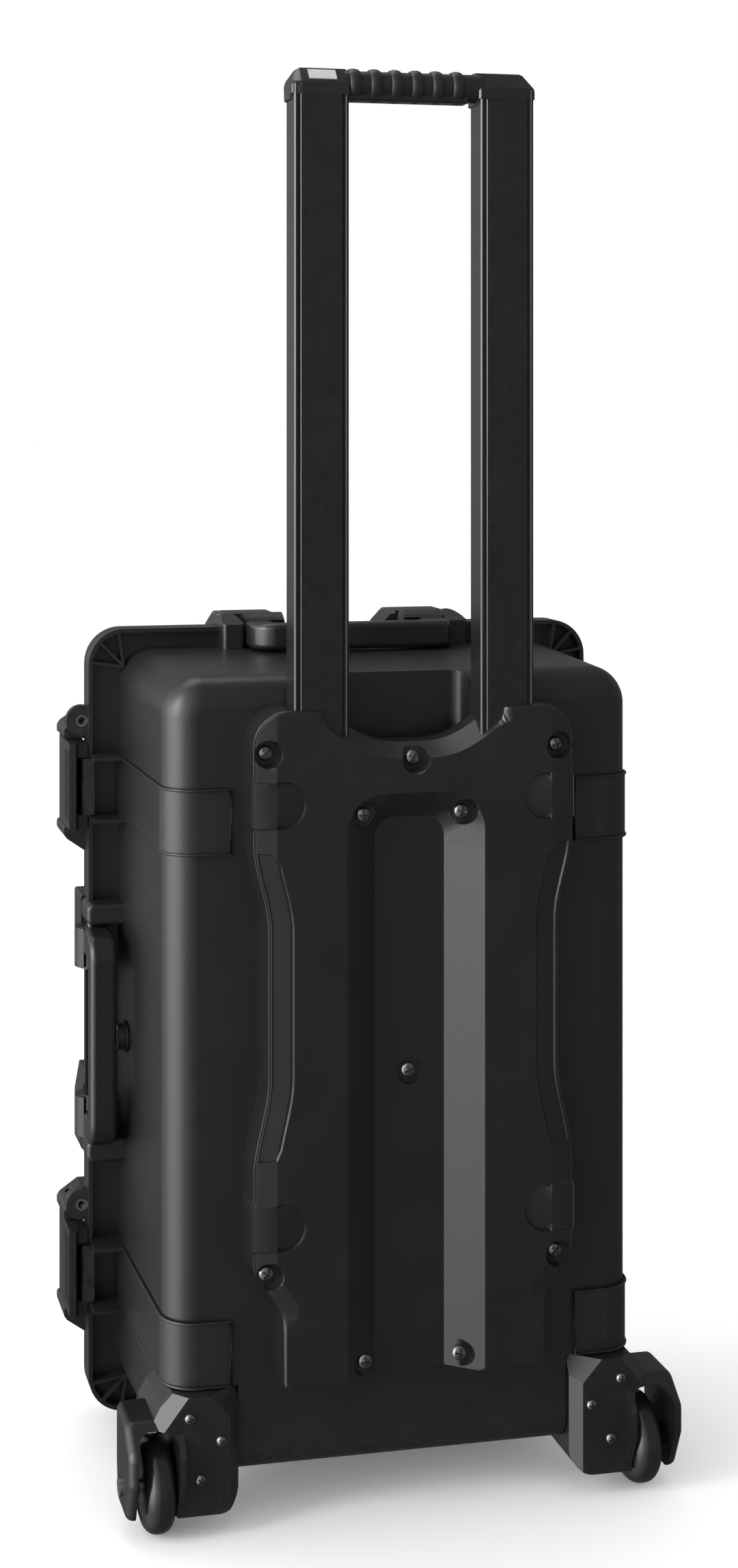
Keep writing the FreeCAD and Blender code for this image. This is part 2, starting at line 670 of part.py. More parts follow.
def lid_humps():
    """Two humps on the lid beside each carry handle, with grooves across them."""
    humps, grooves = [], []
    for side in (-1, 1):
        top = body(f"top_hump_{side + 1}")
        points = [("hump_near", "face_high - 0.5"), ("hump_far", "face_high - 0.5"),
                  ("hump_far", "rim_high - 2"), ("hump_far - 6", "top_hump"),
                  ("hump_near + 9", "top_hump"), ("hump_near", "rim_high - 2")]
        if side < 0:
            points = [(f"-({u})", v) for u, v in reversed(points)]
        drawn = outline(top, f"top_hump_{side + 1}_outline", "XZ", points, "-rim_y - 5")
        block_form = pad(top, drawn, "hump_deep", back=True)
        soften(top, block_form, "4", lambda edge: along("y")(edge)
               and edge.CenterOfMass.z > value("rim_high"))
        humps.append(top)
        grooves += hump_grooves(f"top_hump_{side + 1}", (side * 62, 176, value("top_hump") - 2.2),
                                FreeCAD.Rotation())
        beside = body(f"front_hump_{side + 1}")
        ends = [f"front_handle_z + {side} * {end}" for end in ("hump_near", "(hump_near + 20)", "hump_far")]
        points = [("-face_half + 0.5", ends[0]), ("-rim_half + 1", ends[0]), ("-front_hump", ends[1]),
                  ("-front_hump", ends[2]), ("-face_half + 0.5", ends[2])]
        drawn = outline(beside, f"front_hump_{side + 1}_outline", "XZ", points[::-side], "-rim_y - 5")
        block_form = pad(beside, drawn, "hump_deep", back=True)
        soften(beside, block_form, "2", lambda edge: along("y")(edge)
               and edge.CenterOfMass.x < -value("rim_half"))
        humps.append(beside)
    return humps, grooves


def lid_shell():
    outer = lid_form("lid_outer", "0")
    cavity = lid_form("lid_cavity", "-wall")
    flange = frame_ring("lid_flange", "rim_y + lid_gap", "rim_y + lid_gap + 6.4", "0", "face_half - 6",
                        "face_low + 6", "face_high - 6", "face_corner")
    shell = cut("lid_hollow", fuse("lid_skin", [outer, flange]), [cavity])
    ears = fuse("lid_ears", latch_ears())
    humps, grooves = lid_humps()
    knuckles = hinge_blocks("lid_hinge", LID_SPANS, "rim_y + 2", "rim_y + 8")
    solid = fuse("lid_solid", [shell, ears] + humps + knuckles)
    groove = frame_ring("seal_groove", "rim_y - 1", "rim_y + 4.3",
                        "rim_half - seal_half - seal_wide / 2 - 0.2",
                        "seal_half - seal_wide / 2 - 0.2",
                        "rim_low + rim_half - seal_half + seal_wide / 2 + 0.2",
                        "rim_high - rim_half + seal_half - seal_wide / 2 - 0.2",
                        "rim_corner - rim_half + seal_half - seal_wide / 2 + 3")
    tools = lid_bands() + grooves + [groove] + hinge_clearance("base_knuckle_room", BASE_SPANS)
    for name in ("band_top", "band_base"):
        tools.append(rod(f"lid_hinge_bore_{name}", ("hinge_x", "hinge_y", f"{name} - 20"),
                         "hinge_pin + hinge_slack", "40", "z"))
        tools.append(rod(f"latch_bore_{name}", ("-latch_x", "latch_y", f"{name} - 60"),
                         "latch_pin + 0.02", "120", "z"))
    return node(cut("lid_cut", solid, tools), "lid_shell")


def lid_seal():
    ring = frame_ring("seal_ring", "rim_y + 0.3", "rim_y + 0.3 + seal_deep",
                      "rim_half - seal_half - seal_wide / 2", "seal_half - seal_wide / 2",
                      "rim_low + rim_half - seal_half + seal_wide / 2",
                      "rim_high - rim_half + seal_half - seal_wide / 2",
                      "rim_corner - rim_half + seal_half - seal_wide / 2 + 3")
    return node(ring, "lid_seal")


# ---------------------------------------------------------------- latches and hinges

def turned_pin(name, x, y, z, radius, length):
    """An upright pin, made as a body, with its middle at a height."""
    owner = body(name)
    drawn = circles(owner, f"{name}_circle", "XY", ((x, y),), radius, f"{z} - ({length}) / 2")
    pad(owner, drawn, length)
    return owner


def latch(name, height):
    """One latch: a lever on the lid, with a hook that pulls the rims together."""
    lever = body(f"{name}_lever_body")
    profile = outline(lever, f"{name}_lever_profile", "XY", (
        ("-latch_out + 1", "latch_tip + 4"), ("-latch_out", "latch_tip"), ("-latch_out + 5", "latch_tip"),
        ("-194.5", "latch_tip + 9"), ("-194.5", "latch_y - 6"), ("-189.5", "latch_y - 4"),
        ("-189.5", "latch_y + 4"), ("-193", "latch_y + 7"), ("-199", "latch_y + 7"),
        ("-latch_out + 1", "latch_y + 3")), f"{height} - latch_half")
    plate = pad(lever, profile, "2 * latch_half")
    soften(lever, plate, "1.2", lambda edge: along("z")(edge)
           and edge.CenterOfMass.y > value("latch_y") - 7)
    cheek_low = f"{height} - hook_half - 10.5"
    cheeks = [block(f"{name}_cheek_{i}", ("-197", "latch_tip + 6", low),
                    ("8.2", "hook_pin_y - latch_tip - 1", "10"))
              for i, low in enumerate((cheek_low, f"{height} + hook_half + 0.5"))]
    tools = [block(f"{name}_hook_room", ("-198.2", "hook_pin_y - 8", f"{height} - hook_half - 0.5"),
                   ("12", "13.5", "2 * hook_half + 1")),
             rod(f"{name}_pivot_bore", ("-latch_x", "latch_y", f"{height} - latch_half - 1"),
                 "latch_pin + 0.05", "2 * latch_half + 2", "z"),
             rod(f"{name}_hook_bore", ("-hook_pin_x", "hook_pin_y", f"{height} - hook_half - 7"),
                 "2.02", "2 * hook_half + 14", "z")]
    tools += [block(f"{name}_finger_groove_{i}", ("-latch_out - 1", f"latch_tip + {9 + 5 * i}",
                                                  f"{height} - latch_half + 6"),
                    ("3", "2", "2 * latch_half - 12")) for i in range(4)]
    node(cut(f"{name}_lever_cut", fuse(f"{name}_lever_solid", [lever] + cheeks), tools), f"{name}_lever")

    hook = body(f"{name}_hook_body")
    claw = outline(hook, f"{name}_hook_profile", "XY", (
        ("-192.6", "147"), ("-184.5", "147"), ("-184.5", "150.3"), ("-189.1", "150.3"),
        ("-189.1", "hook_pin_y - 4"), ("-188.5", "hook_pin_y + 3.5"), ("-194.5", "hook_pin_y + 3.5"),
        ("-196", "hook_pin_y"), ("-193.6", "hook_pin_y - 5"), ("-193.6", "150")), f"{height} - hook_half")
    pad(hook, claw, "2 * hook_half")
    bore = circles(hook, f"{name}_hook_bore_circle", "XY", (("-hook_pin_x", "hook_pin_y"),), "2.05",
                   f"{height} - hook_half")
    pocket(hook, bore, "2 * hook_half", back=True)
    node(hook, f"{name}_hook")
    node(turned_pin(f"{name}_pin", "-latch_x", "latch_y", height, "latch_pin", "2 * latch_half + 17"),
         f"{name}_pivot_pin")
    node(turned_pin(f"{name}_hook_pin", "-hook_pin_x", "hook_pin_y", height, "2", "2 * hook_half + 12"),
         f"{name}_hook_pin")


def eyelets():
    rings = []
    for name in ("band_top", "band_base"):
        owner = body(f"eyelet_{name}")
        ring = circles(owner, f"eyelet_{name}_outer", "XZ", (("-rim_half - 4", f"{name} + 46"),), "4.2",
                       "-rim_y")
        pad(owner, ring, "7.6")
        bore = circles(owner, f"eyelet_{name}_inner", "XZ", (("-rim_half - 4", f"{name} + 46"),), "2.8",
                       "-rim_y")
        pocket(owner, bore, "8", back=True)
        rings.append(owner)
    return node(group("eyelets", rings), "padlock_eyelets")


def hinge_pins():
    for name, label in (("band_top", "upper"), ("band_base", "lower")):
        node(turned_pin(f"hinge_pin_{label}", "hinge_x", "hinge_y", name, "hinge_pin", "2 * hinge_half - 1"),
             f"hinge_pin_{label}")


# ---------------------------------------------------------------- carry handles

def carry_handle(label, place):
    """A folded carry handle round its own pivot: +x along the pin, -y to the bar, +z outward."""
    bar = body(f"{label}_bar")
    inner, near = "handle_half - handle_arm", "-handle_reach + handle_bar"
    drawn = outline(bar, f"{label}_bar_outline", "XY", (
        ("-handle_half", "-handle_reach"), ("handle_half", "-handle_reach"), ("handle_half", "0"),
        (inner, "0"),
        (inner, near), (f"-({inner})", near), (f"-({inner})", "0"), ("-handle_half", "0")), "handle_under")
    thick = pad(bar, drawn, "handle_thick")
    outer = soften(bar, thick, "handle_corner", lambda edge: along("z")(edge)
                   and edge.CenterOfMass.y < 1 - value("handle_reach"))
    hollow = soften(bar, outer, "6", lambda edge: along("z")(edge)
                    and abs(edge.CenterOfMass.y - value("handle_bar") + value("handle_reach")) < 1)
    low = value("handle_under")
    high = low + value("handle_thick")
    soften(bar, hollow, "4", lambda edge: (level("z", low)(edge) or level("z", high)(edge))
           and edge.CenterOfMass.y < -0.5)
    knuckles = []
    for side in (-1, 1):
        start = "handle_half - 30" if side > 0 else "-handle_half + 0.5"
        knuckles.append(rod(f"{label}_knuckle_{side + 1}", (start, "0", "0"), "knuckle - 2.5", "29.5", "x"))
    bore = rod(f"{label}_bore", ("-handle_half - 1", "0", "0"), "handle_pin + 0.05",
               "2 * handle_half + 2", "x")
    node(cut(f"{label}_cut", fuse(f"{label}_solid", [bar] + knuckles), [bore]), label, **place)
    sleeves = []
    for side in (-1, 1):
        start = "handle_half - 29" if side > 0 else "-handle_half + 1"
        outer = rod(f"{label}_sleeve_outer_{side + 1}", (start, "0", "0"), "knuckle", "28", "x")
        inner = rod(f"{label}_sleeve_inner_{side + 1}", (start, "0", "0"), "knuckle - 2.5", "28", "x")
        room = block(f"{label}_sleeve_room_{side + 1}", ("-100", "-30", "handle_under"),
                     ("200", "30", "handle_thick"))
        under = block(f"{label}_sleeve_under_{side + 1}", ("-100", "-30", "-30"), ("200", "60", "24"))
        sleeves.append(cut(f"{label}_sleeve_{side + 1}", outer, [inner, room, under]))
    node(group(f"{label}_sleeves", sleeves), f"{label}_pads", **place)
    pins = []
    for side in (-1, 1):
        start = "lug_half - 27" if side > 0 else "-lug_half + 5"
        pins.append(rod(f"{label}_pin_{side + 1}", (start, "0", "0"), "handle_pin", "22", "x"))
    node(group(f"{label}_pin_pair", pins), f"{label}_pins", **place)


def carry_handles():
    carry_handle("top_handle", {"y": "face_y + pivot_y", "z": "top_pivot"})
    carry_handle("front_handle", {"x": "-front_pivot", "y": "face_y + pivot_y", "z": "front_handle_z",
                                  "turn": (FreeCAD.Vector(0, 1, 0), -90)})


# ---------------------------------------------------------------- trolley

COVER_SCREWS = (("99.8", "509.7"), ("-99.8", "509.7"), ("0", "503.7"), ("33.7", "467.3"), ("-33.7", "467.3"),
                ("99", "172"), ("-99", "172"), ("32.4", "109"), ("-32.4", "109"))
MIDDLE_SCREW = ("0", "295.6")


def trolley_cover():
    right = (("cover_foot_half", "cover_low"), ("cover_foot_half", "141"), ("cover_half", "181"),
             ("cover_half", "236"), ("cover_waist", "290"), ("cover_waist", "405"),
             ("cover_half", "452"), ("cover_half", "cover_high"), ("47", "cover_high"),
             ("34", "saddle_low"))
    left = tuple((f"-{u}", v) for u, v in reversed(right))
    owner = body("cover_body")
    drawn = outline(owner, "cover_outline", "XZ", right + left, "0")
    plate = pad(owner, drawn, "cover_front")
    corner = soften(owner, plate, "20", lambda edge: along("y")(edge) and
                    abs(abs(edge.CenterOfMass.x) - value("cover_half")) < 1 and edge.CenterOfMass.z > 500)
    front = soften(owner, corner, "5", level("y", -value("cover_front")))
    recess = circles(owner, "recess_circles", "XZ", COVER_SCREWS, "screw_recess", "cover_front")
    pocket(owner, recess, "screw_recess_deep")
    trough = body("trough_body")
    section = outline(trough, "trough_section", "XY", (
        ("-trough_floor_half", "trough_deep - cover_front"), ("-trough_half", "-cover_front"),
        ("-trough_half", "-cover_front - 1"), ("trough_half", "-cover_front - 1"),
        ("trough_half", "-cover_front"),
        ("trough_floor_half", "trough_deep - cover_front")), "cover_low - 1")
    pad(trough, section, "trough_high - cover_low + 1")
    tools = [trough]
    for side in (-1, 1):
        start = "post_inner - post_slack" if side > 0 else "-post_inner - post_wide - post_slack"
        tools.append(block(f"post_channel_{side + 1}", (start, "-post_front - post_slack", "cover_low + 3"),
                           ("post_wide + 2 * post_slack", "post_front + post_slack + 1",
                            "cover_high - cover_low + 10")))
    tools.append(block("cover_hollow_middle", ("-trough_floor_half + 2", "-6.5", "cover_low + 3"),
                       ("2 * trough_floor_half - 4", "7.5", "saddle_low - cover_low - 8")))
    for index, (u, v) in enumerate(COVER_SCREWS + (MIDDLE_SCREW,)):
        tools.append(rod(f"screw_bore_{index}", (u, "-cover_front - 1", v), "screw_shank + 0.1",
                         "cover_front + 2", "y"))
    return node(cut("cover_cut", owner, tools), "trolley_cover")


def screw(name, u, v, head_y, head, shank, length):
    """A pan-head screw along y, with a cross recess in its head."""
    head_part = rod(f"{name}_head", (u, head_y, v), head, "2.6", "y")
    shank_part = rod(f"{name}_shank", (u, f"{head_y} + 2.6", v), shank, length, "y")
    arms = [block(f"{name}_cross_a", (f"{u} - ({head}) * 0.55", f"{head_y} - 1", f"{v} - 0.6"),
                  (f"({head}) * 1.1", "2.4", "1.2")),
            block(f"{name}_cross_b", (f"{u} - 0.6", f"{head_y} - 1", f"{v} - ({head}) * 0.55"),
                  ("1.2", "2.4", f"({head}) * 1.1"))]
    return cut(f"{name}_cut", fuse(f"{name}_solid", [head_part, shank_part]), arms)


def cover_screws():
    items = [screw(f"cover_screw_{i}", u, v, "-cover_front + screw_recess_deep - 2.6", "screw_head",
                   "screw_shank", "cover_front - screw_recess_deep")
             for i, (u, v) in enumerate(COVER_SCREWS)]
    items.append(screw("cover_screw_middle", *MIDDLE_SCREW, "trough_deep - cover_front - 2.6", "screw_head",
                       "screw_shank", "cover_front - trough_deep"))
    return node(group("cover_screw_group", items), "trolley_cover_screws")


def trolley():
    for side, label in ((-1, "left"), (1, "right")):
        post = body(f"post_{label}_body")
        left = "post_inner" if side > 0 else "-post_inner - post_wide"
        drawn = rounded(post, f"post_{label}_outline", "XY", left, f"{left} + post_wide", "-post_front",
                        "-post_front + post_deep", "3", "post_low")
        pad(post, drawn, "post_high - post_low")
        bore = rounded(post, f"post_{label}_bore", "XY", f"{left} + post_wall",
                       f"{left} + post_wide - post_wall",
                       "-post_front + post_wall", "-post_front + post_deep - post_wall", "1.5", "post_low")
        pocket(post, bore, "post_high - post_low", back=True)
        groove_at = ("post_inner + 4", "post_inner + post_wide - 5") if side > 0 else \
            ("-post_inner - post_wide + 4", "-post_inner - 5")
        tools = [block(f"post_{label}_groove_{i}", (start, "-post_front - 1", "post_low - 1"),
                       ("1", "1.6", "post_high - post_low + 2")) for i, start in enumerate(groove_at)]
        edge = "post_inner + post_wide - 2" if side > 0 else "-post_inner - post_wide - 3"
        for i in range(6):
            low = f"notch_first + {i} * notch_pitch - 4"
            tools.append(block(f"post_{label}_notch_{i}", (edge, "-post_front + 5.5", low),
                               ("5", "9", "8")))
        node(cut(f"post_{label}_cut", post, tools), f"trolley_post_{label}")
        shoe = block(f"shoe_{label}_base", (f"{left} - 0.4", "-post_front - 0.4", "post_low - shoe_thick"),
                     ("post_wide + 0.8", "post_front - 0.2", "shoe_thick"))
        plug = block(f"shoe_{label}_plug",
                     (f"{left} + post_wall + 0.8", "-post_front + post_wall + 0.8", "post_low - 1"),
                     ("post_wide - 2 * post_wall - 1.6", "post_deep - 2 * post_wall - 1.6", "13"))
        node(fuse(f"shoe_{label}", [shoe, plug]), f"slide_shoe_{label}")


def trolley_grip():
    caps = []
    for side, label in ((-1, "left"), (1, "right")):
        cap = body(f"cap_{label}_body")
        low = "post_inner - 1.5" if side > 0 else "-post_inner - post_wide - 1.5"
        profile = outline(cap, f"cap_{label}_profile", "YZ", (
            ("-post_front - 3.5", "cap_low"), ("-post_front + post_deep + 3.5", "cap_low"),
            ("-post_front + post_deep + 5", "cap_high - 6"), ("-post_front + post_deep", "cap_high"),
            ("-post_front + 3", "cap_high"), ("-post_front - 3.5", "cap_high - 8")), low)
        solid = pad(cap, profile, "post_wide + 3")
        soften(cap, solid, "3", along("x"))
        caps.append(cap)
    middle = ("-post_front + 10", "cap_high - 11")
    bar = rod("grip_core", ("-post_inner - 1", *middle), "grip_radius", "2 * post_inner + 2", "x")
    starts = [f"{i - 3} * ring_pitch - ring_wide / 2 + 2.3" for i in range(6)]
    rings = [rod(f"grip_ring_{i}", (start, *middle), "ring_radius", "ring_wide", "x")
             for i, start in enumerate(starts)]
    bores = [rod(f"grip_ring_bore_{i}", (f"{start} - 1", *middle), "grip_radius", "ring_wide + 2", "x")
             for i, start in enumerate(starts)]
    tools = []
    for side, label in ((-1, "left"), (1, "right")):
        low = "post_inner - 0.02" if side > 0 else "-post_inner - post_wide - 0.02"
        tools.append(block(f"cap_{label}_socket", (low, "-post_front - 0.02", "cap_low - 1"),
                           ("post_wide + 0.04", "post_deep + 0.04", "post_high - cap_low + 1.02")))
        tools.append(corner_cut(f"cap_{label}_corner", (side * 82, 0, value("cap_high") - 4.5),
                                (side * 0.845, 0, 0.535)))
    tools.append(block("button_well", ("-post_inner - 24", "-post_front - 6", "cap_high - 6"),
                       ("20", "14", "10")))
    node(cut("grip_cut", fuse("grip_solid", caps + [bar]), tools), "trolley_grip")
    sleeves = [cut(f"grip_ring_cut_{i}", ring, [bore]) for i, (ring, bore) in enumerate(zip(rings, bores))]
    node(group("grip_rings", sleeves), "trolley_grip_rings")
    button = block("button_block", ("-post_inner - 23.7", "-post_front - 2.5", "cap_high - 2.7"),
                   ("19.4", "10.2", "4"))
    stem = block("button_stem", ("-post_inner - 20", "-post_front + 1", "cap_high - 2.9"), ("12", "6", "1"))
    node(fuse("button", [button, stem]), "release_button")


# ---------------------------------------------------------------- wheels

AXLE = ("axle_y", "axle_z")
HOUSING_SCREWS = (("148.5", "79.6"), ("127.5", "63.5"), ("141.4", "39.7"))


def wheel_housing():
    """The right wheel housing; the left one is its mirror image."""
    owner = body("housing_body")
    drawn = outline(owner, "housing_outline", "XZ", (
        ("housing_inner", "housing_low"), ("wheel_inner + 2", "housing_low"), ("wheel_inner + 2", "66"),
        ("174", "66"), ("172", "74"), ("166", "84"), ("158", "housing_high"),
        ("housing_inner", "housing_high")),
        "-housing_back")
    main = pad(owner, drawn, "housing_back + housing_front")
    soften(owner, main, "15", lambda edge: along("y")(edge)
           and edge.CenterOfMass.z < value("housing_low") + 1
           and edge.CenterOfMass.x < value("housing_inner") + 1)
    block_form = cut("housing_facets", owner, [
        corner_cut("outer_facet", (154.5, -11, 86), (0.62, -0.62, 0.48)),
        corner_cut("inner_facet", (135, -11, 93), (-0.52, -0.72, 0.46)),
        corner_cut("inner_chamfer", (121.6, -11, 60), (-0.72, -0.69, 0))])
    fender = body("fender_body")
    profile = outline(fender, "fender_outline", "YZ", (
        ("-fender_front", "42"), ("-8", "housing_low - 2"), ("26", "housing_low - 2"), ("30", "40"),
        ("30", "fender_high"), ("-2", "fender_high"), ("-fender_front", "62")), "wheel_inner - 5")
    curved = pad(fender, profile, "housing_outer - wheel_inner + 5")
    rounded_side = soften(fender, curved, "9", lambda edge: along("x")(edge) and edge.CenterOfMass.y < 28)
    soften(fender, rounded_side, "5.5", lambda edge: edge.BoundBox.XMin > value("housing_outer") - 1)
    room = body("wheel_room")
    arch = rounded(room, "wheel_room_outline", "XZ", "wheel_inner - 1", "housing_outer - fender_wall",
                   "-20", "fender_high - 5", "9", "-axle_y - axle_z - 3")
    pad(room, arch, "axle_y + axle_z + 33")
    tools = [room, rod("axle_bore", ("wheel_inner - 12", *AXLE), "axle_radius + 0.02", "80", "x")]
    for i, (u, v) in enumerate(HOUSING_SCREWS):
        tools.append(rod(f"housing_screw_bore_{i}", (u, "-housing_front - 1", v), "1.8",
                         "housing_front + 9", "y"))
    hollowed = cut("housing_hollowed", fuse("housing_solid", [block_form, fender]), tools)
    collar = rod("axle_collar", ("wheel_inner + wheel_wide + 1", *AXLE), "axle_radius + 3",
                 "housing_outer - wheel_inner - wheel_wide - 2", "x")
    collar_bore = rod("axle_collar_bore", ("wheel_inner", *AXLE), "axle_radius + 0.02", "60", "x")
    right = fuse("housing_right", [hollowed, cut("axle_collar_cut", collar, [collar_bore])])
    node(right, "wheel_housing_right")
    node(mirror("housing_left_mirror", right), "wheel_housing_left", y="0")


def housing_screws():
    items = []
    for side in (-1, 1):
        for i, (u, v) in enumerate(HOUSING_SCREWS):
            items.append(screw(f"housing_screw_{side + 1}_{i}", f"{side} * ({u})", v, "-housing_front - 2.6",
                               "3.5", "1.75", "9"))
    node(group("housing_screw_group", items), "wheel_housing_screws")


def wheels():
    for side, label in ((-1, "left"), (1, "right")):
        start = "wheel_inner" if side > 0 else "-wheel_inner - wheel_wide"
        tyre = body(f"tyre_{label}_body")
        ring = circles(tyre, f"tyre_{label}_outer", "YZ", (AXLE,), "axle_z", start)
        wide = pad(tyre, ring, "wheel_wide")
        soften(tyre, wide, "9", lambda edge: edge.Length > 100)
        hole = circles(tyre, f"tyre_{label}_inner", "YZ", (AXLE,), "axle_z - tyre_wall", start)
        pocket(tyre, hole, "wheel_wide", back=True)
        node(tyre, f"wheel_tyre_{label}")
        hub = rod(f"hub_{label}_disc", (f"{start} + 1", *AXLE), "axle_z - tyre_wall", "wheel_wide - 2", "x")
        seats, rings = [], []
        for i, low in enumerate((f"{start} + 1", f"{start} + wheel_wide - 1 - bearing_wide")):
            seat = (low, *AXLE)
            seats.append(rod(f"hub_{label}_seat_{i}", seat, "bearing_radius", "bearing_wide", "x"))
            outer = rod(f"bearing_{label}_outer_{i}", seat, "bearing_radius", "bearing_wide", "x")
            inner = rod(f"bearing_{label}_inner_{i}", seat, "axle_radius + 0.03", "bearing_wide", "x")
            rings.append(cut(f"bearing_{label}_{i}", outer, [inner]))
        middle = rod(f"hub_{label}_middle", (start, *AXLE), "8", "wheel_wide", "x")
        node(cut(f"hub_{label}_cut", hub, seats + [middle]), f"wheel_hub_{label}")
        node(group(f"bearings_{label}", rings), f"wheel_bearings_{label}")
        start = "wheel_inner - 10" if side > 0 else "-housing_outer - 1.5"
        axle = rod(f"axle_{label}_rod", (start, *AXLE), "axle_radius",
                   "housing_outer - wheel_inner + 11.5", "x")
        end = "housing_outer + 0.1" if side > 0 else "-housing_outer - 1.6"
        head = rod(f"axle_{label}_head", (end, *AXLE), "axle_radius + 2", "1.5", "x")
        node(fuse(f"axle_{label}", [axle, head]), f"wheel_axle_{label}")


# ---------------------------------------------------------------- purge valve

def valve():
    stem = rod("valve_stem", ("-face_half - 5", "pivot_y - 22", "front_handle_z"), "8", "12", "x")
    collar = rod("valve_collar", ("-face_half - 5.9", "pivot_y - 22", "front_handle_z"), "11", "2", "x")
    nut = rod("valve_nut", ("-face_half + 4", "pivot_y - 22", "front_handle_z"), "11", "3", "x")
    node(fuse("valve_body_solid", [stem, collar, nut]), "purge_valve_body")
    knob = body("valve_knob_body")
    drawn = circles(knob, "valve_knob_circle", "YZ", (("pivot_y - 22", "front_handle_z"),), "9",
                    "-face_half - 11")
    turned = pad(knob, drawn, "4.9")
    soften(knob, turned, "1", lambda edge: edge.BoundBox.XMax < -value("face_half") - 10)
    slot = block("valve_slot", ("-face_half - 12", "pivot_y - 23", "front_handle_z - 12"),
                 ("2.6", "2", "24"))
    node(cut("valve_knob_cut", knob, [slot]), "purge_valve_knob")


# ---------------------------------------------------------------- check and write

def build():
    base_shell()
    lid_shell()
    lid_seal()
    for name, height in (("latch_upper", "band_top"), ("latch_lower", "band_base")):
        latch(name, height)
    eyelets()
    hinge_pins()
    carry_handles()
    trolley_cover()
    cover_screws()
    trolley()
    trolley_grip()
    wheel_housing()
    housing_screws()
    wheels()
    valve()


build()
document.recompute()
for item in document.Objects:
    if "Invalid" in item.State or "Error" in item.State:
        raise RuntimeError(f"{item.Name} failed: {item.State}")
os.makedirs("parts", exist_ok=True)
for item in NODES:
    shape = item.Shape
    if shape.isNull() or not shape.isValid():
        raise RuntimeError(f"{item.Label} has no valid shape")
    shape.exportStep(f"parts/{item.Label}.step")
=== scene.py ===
"""The looks of a wheeled hard equipment case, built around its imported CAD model.

Lengths are in millimetres until a mesh is made. X is to the right, Y goes into the picture and Z is up.
"""

import json
import math

import bmesh
import bpy
import numpy as np
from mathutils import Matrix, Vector
from mathutils.geometry import delaunay_2d_cdt


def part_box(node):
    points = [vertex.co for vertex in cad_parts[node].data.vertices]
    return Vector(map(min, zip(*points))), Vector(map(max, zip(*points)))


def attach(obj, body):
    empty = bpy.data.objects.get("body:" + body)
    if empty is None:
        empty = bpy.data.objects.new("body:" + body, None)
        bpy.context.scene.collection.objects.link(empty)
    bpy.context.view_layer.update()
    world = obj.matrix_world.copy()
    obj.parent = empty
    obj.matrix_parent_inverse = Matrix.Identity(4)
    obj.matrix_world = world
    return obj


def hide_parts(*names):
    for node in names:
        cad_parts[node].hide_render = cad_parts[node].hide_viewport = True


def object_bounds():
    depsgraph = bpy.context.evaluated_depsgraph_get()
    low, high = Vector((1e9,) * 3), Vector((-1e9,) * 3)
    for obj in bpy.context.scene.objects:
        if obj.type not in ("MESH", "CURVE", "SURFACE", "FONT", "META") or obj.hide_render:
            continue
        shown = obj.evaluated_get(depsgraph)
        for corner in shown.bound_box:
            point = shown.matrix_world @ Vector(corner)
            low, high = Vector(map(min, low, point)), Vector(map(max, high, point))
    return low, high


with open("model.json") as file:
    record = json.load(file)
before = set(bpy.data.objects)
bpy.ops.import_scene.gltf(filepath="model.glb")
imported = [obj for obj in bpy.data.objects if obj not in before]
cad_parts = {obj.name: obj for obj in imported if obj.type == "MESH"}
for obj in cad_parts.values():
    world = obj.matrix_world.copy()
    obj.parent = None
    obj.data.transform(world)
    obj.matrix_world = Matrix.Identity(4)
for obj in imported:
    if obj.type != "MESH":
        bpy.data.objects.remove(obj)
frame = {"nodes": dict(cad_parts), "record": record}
cad_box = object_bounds()

METRE = 1000.0                       # millimetres in a metre
SMOOTH_ANGLE = math.radians(32)      # edges sharper than this stay crisp


class Span:
    """The box of one or more CAD nodes in millimetres."""

    def __init__(self, *nodes):
        boxes = [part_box(n) for n in nodes]
        self.low = [min(b[0][i] for b in boxes) * METRE for i in range(3)]
        self.high = [max(b[1][i] for b in boxes) * METRE for i in range(3)]
        self.mid = [(a + b) / 2 for a, b in zip(self.low, self.high)]
        self.size = [b - a for a, b in zip(self.low, self.high)]


# ------------------------------------------------------------------ mesh tools

def settle(obj, name, body, material, replaced=()):
    """Gives a finished mesh object its name, body and material, and hides the CAD parts it replaces."""
    obj.name = name
    obj.data.name = name
    obj.data.materials.clear()
    obj.data.materials.append(material)
    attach(obj, body)
    if replaced:
        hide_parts(*replaced)
    return obj


def mesh_object(name, points, faces):
    """A smooth-shaded mesh from points in millimetres, crisp at its sharp edges."""
    data = bpy.data.meshes.new(name)
    data.from_pydata([tuple(c / METRE for c in p) for p in points], [], faces)
    data.validate()
    obj = bpy.data.objects.new(name, data)
    bpy.context.scene.collection.objects.link(obj)
    refine = bmesh.new()
    refine.from_mesh(data)
    bmesh.ops.remove_doubles(refine, verts=refine.verts, dist=1e-6)
    bmesh.ops.recalc_face_normals(refine, faces=refine.faces)
    refine.to_mesh(data)
    refine.free()
    data.shade_smooth()
    data.set_sharp_from_angle(angle=SMOOTH_ANGLE)
    weigh = obj.modifiers.new("weighted normals", "WEIGHTED_NORMAL")
    weigh.keep_sharp = True
    return obj


def arc(centre, radius, start, end, step=6):
    """Points on an arc, angles in degrees."""
    count = max(2, int(abs(end - start) / step) + 1)
    return [(centre[0] + radius * math.cos(math.radians(a)), centre[1] + radius * math.sin(math.radians(a)))
            for a in np.linspace(start, end, count)]


def rounded_box(left, right, low, high, radii, step=8):
    """A closed outline with its own radius at each corner: low right, high right, high left, low left."""
    corners = ((right, low, 1, -1, -90), (right, high, 1, 1, 0),
               (left, high, -1, 1, 90), (left, low, -1, -1, 180))
    points = []
    for (u, v, side, up, start), radius in zip(corners, radii):
        points += arc((u - side * radius, v - up * radius), radius, start, start + 90, step)
    return np.array(points)


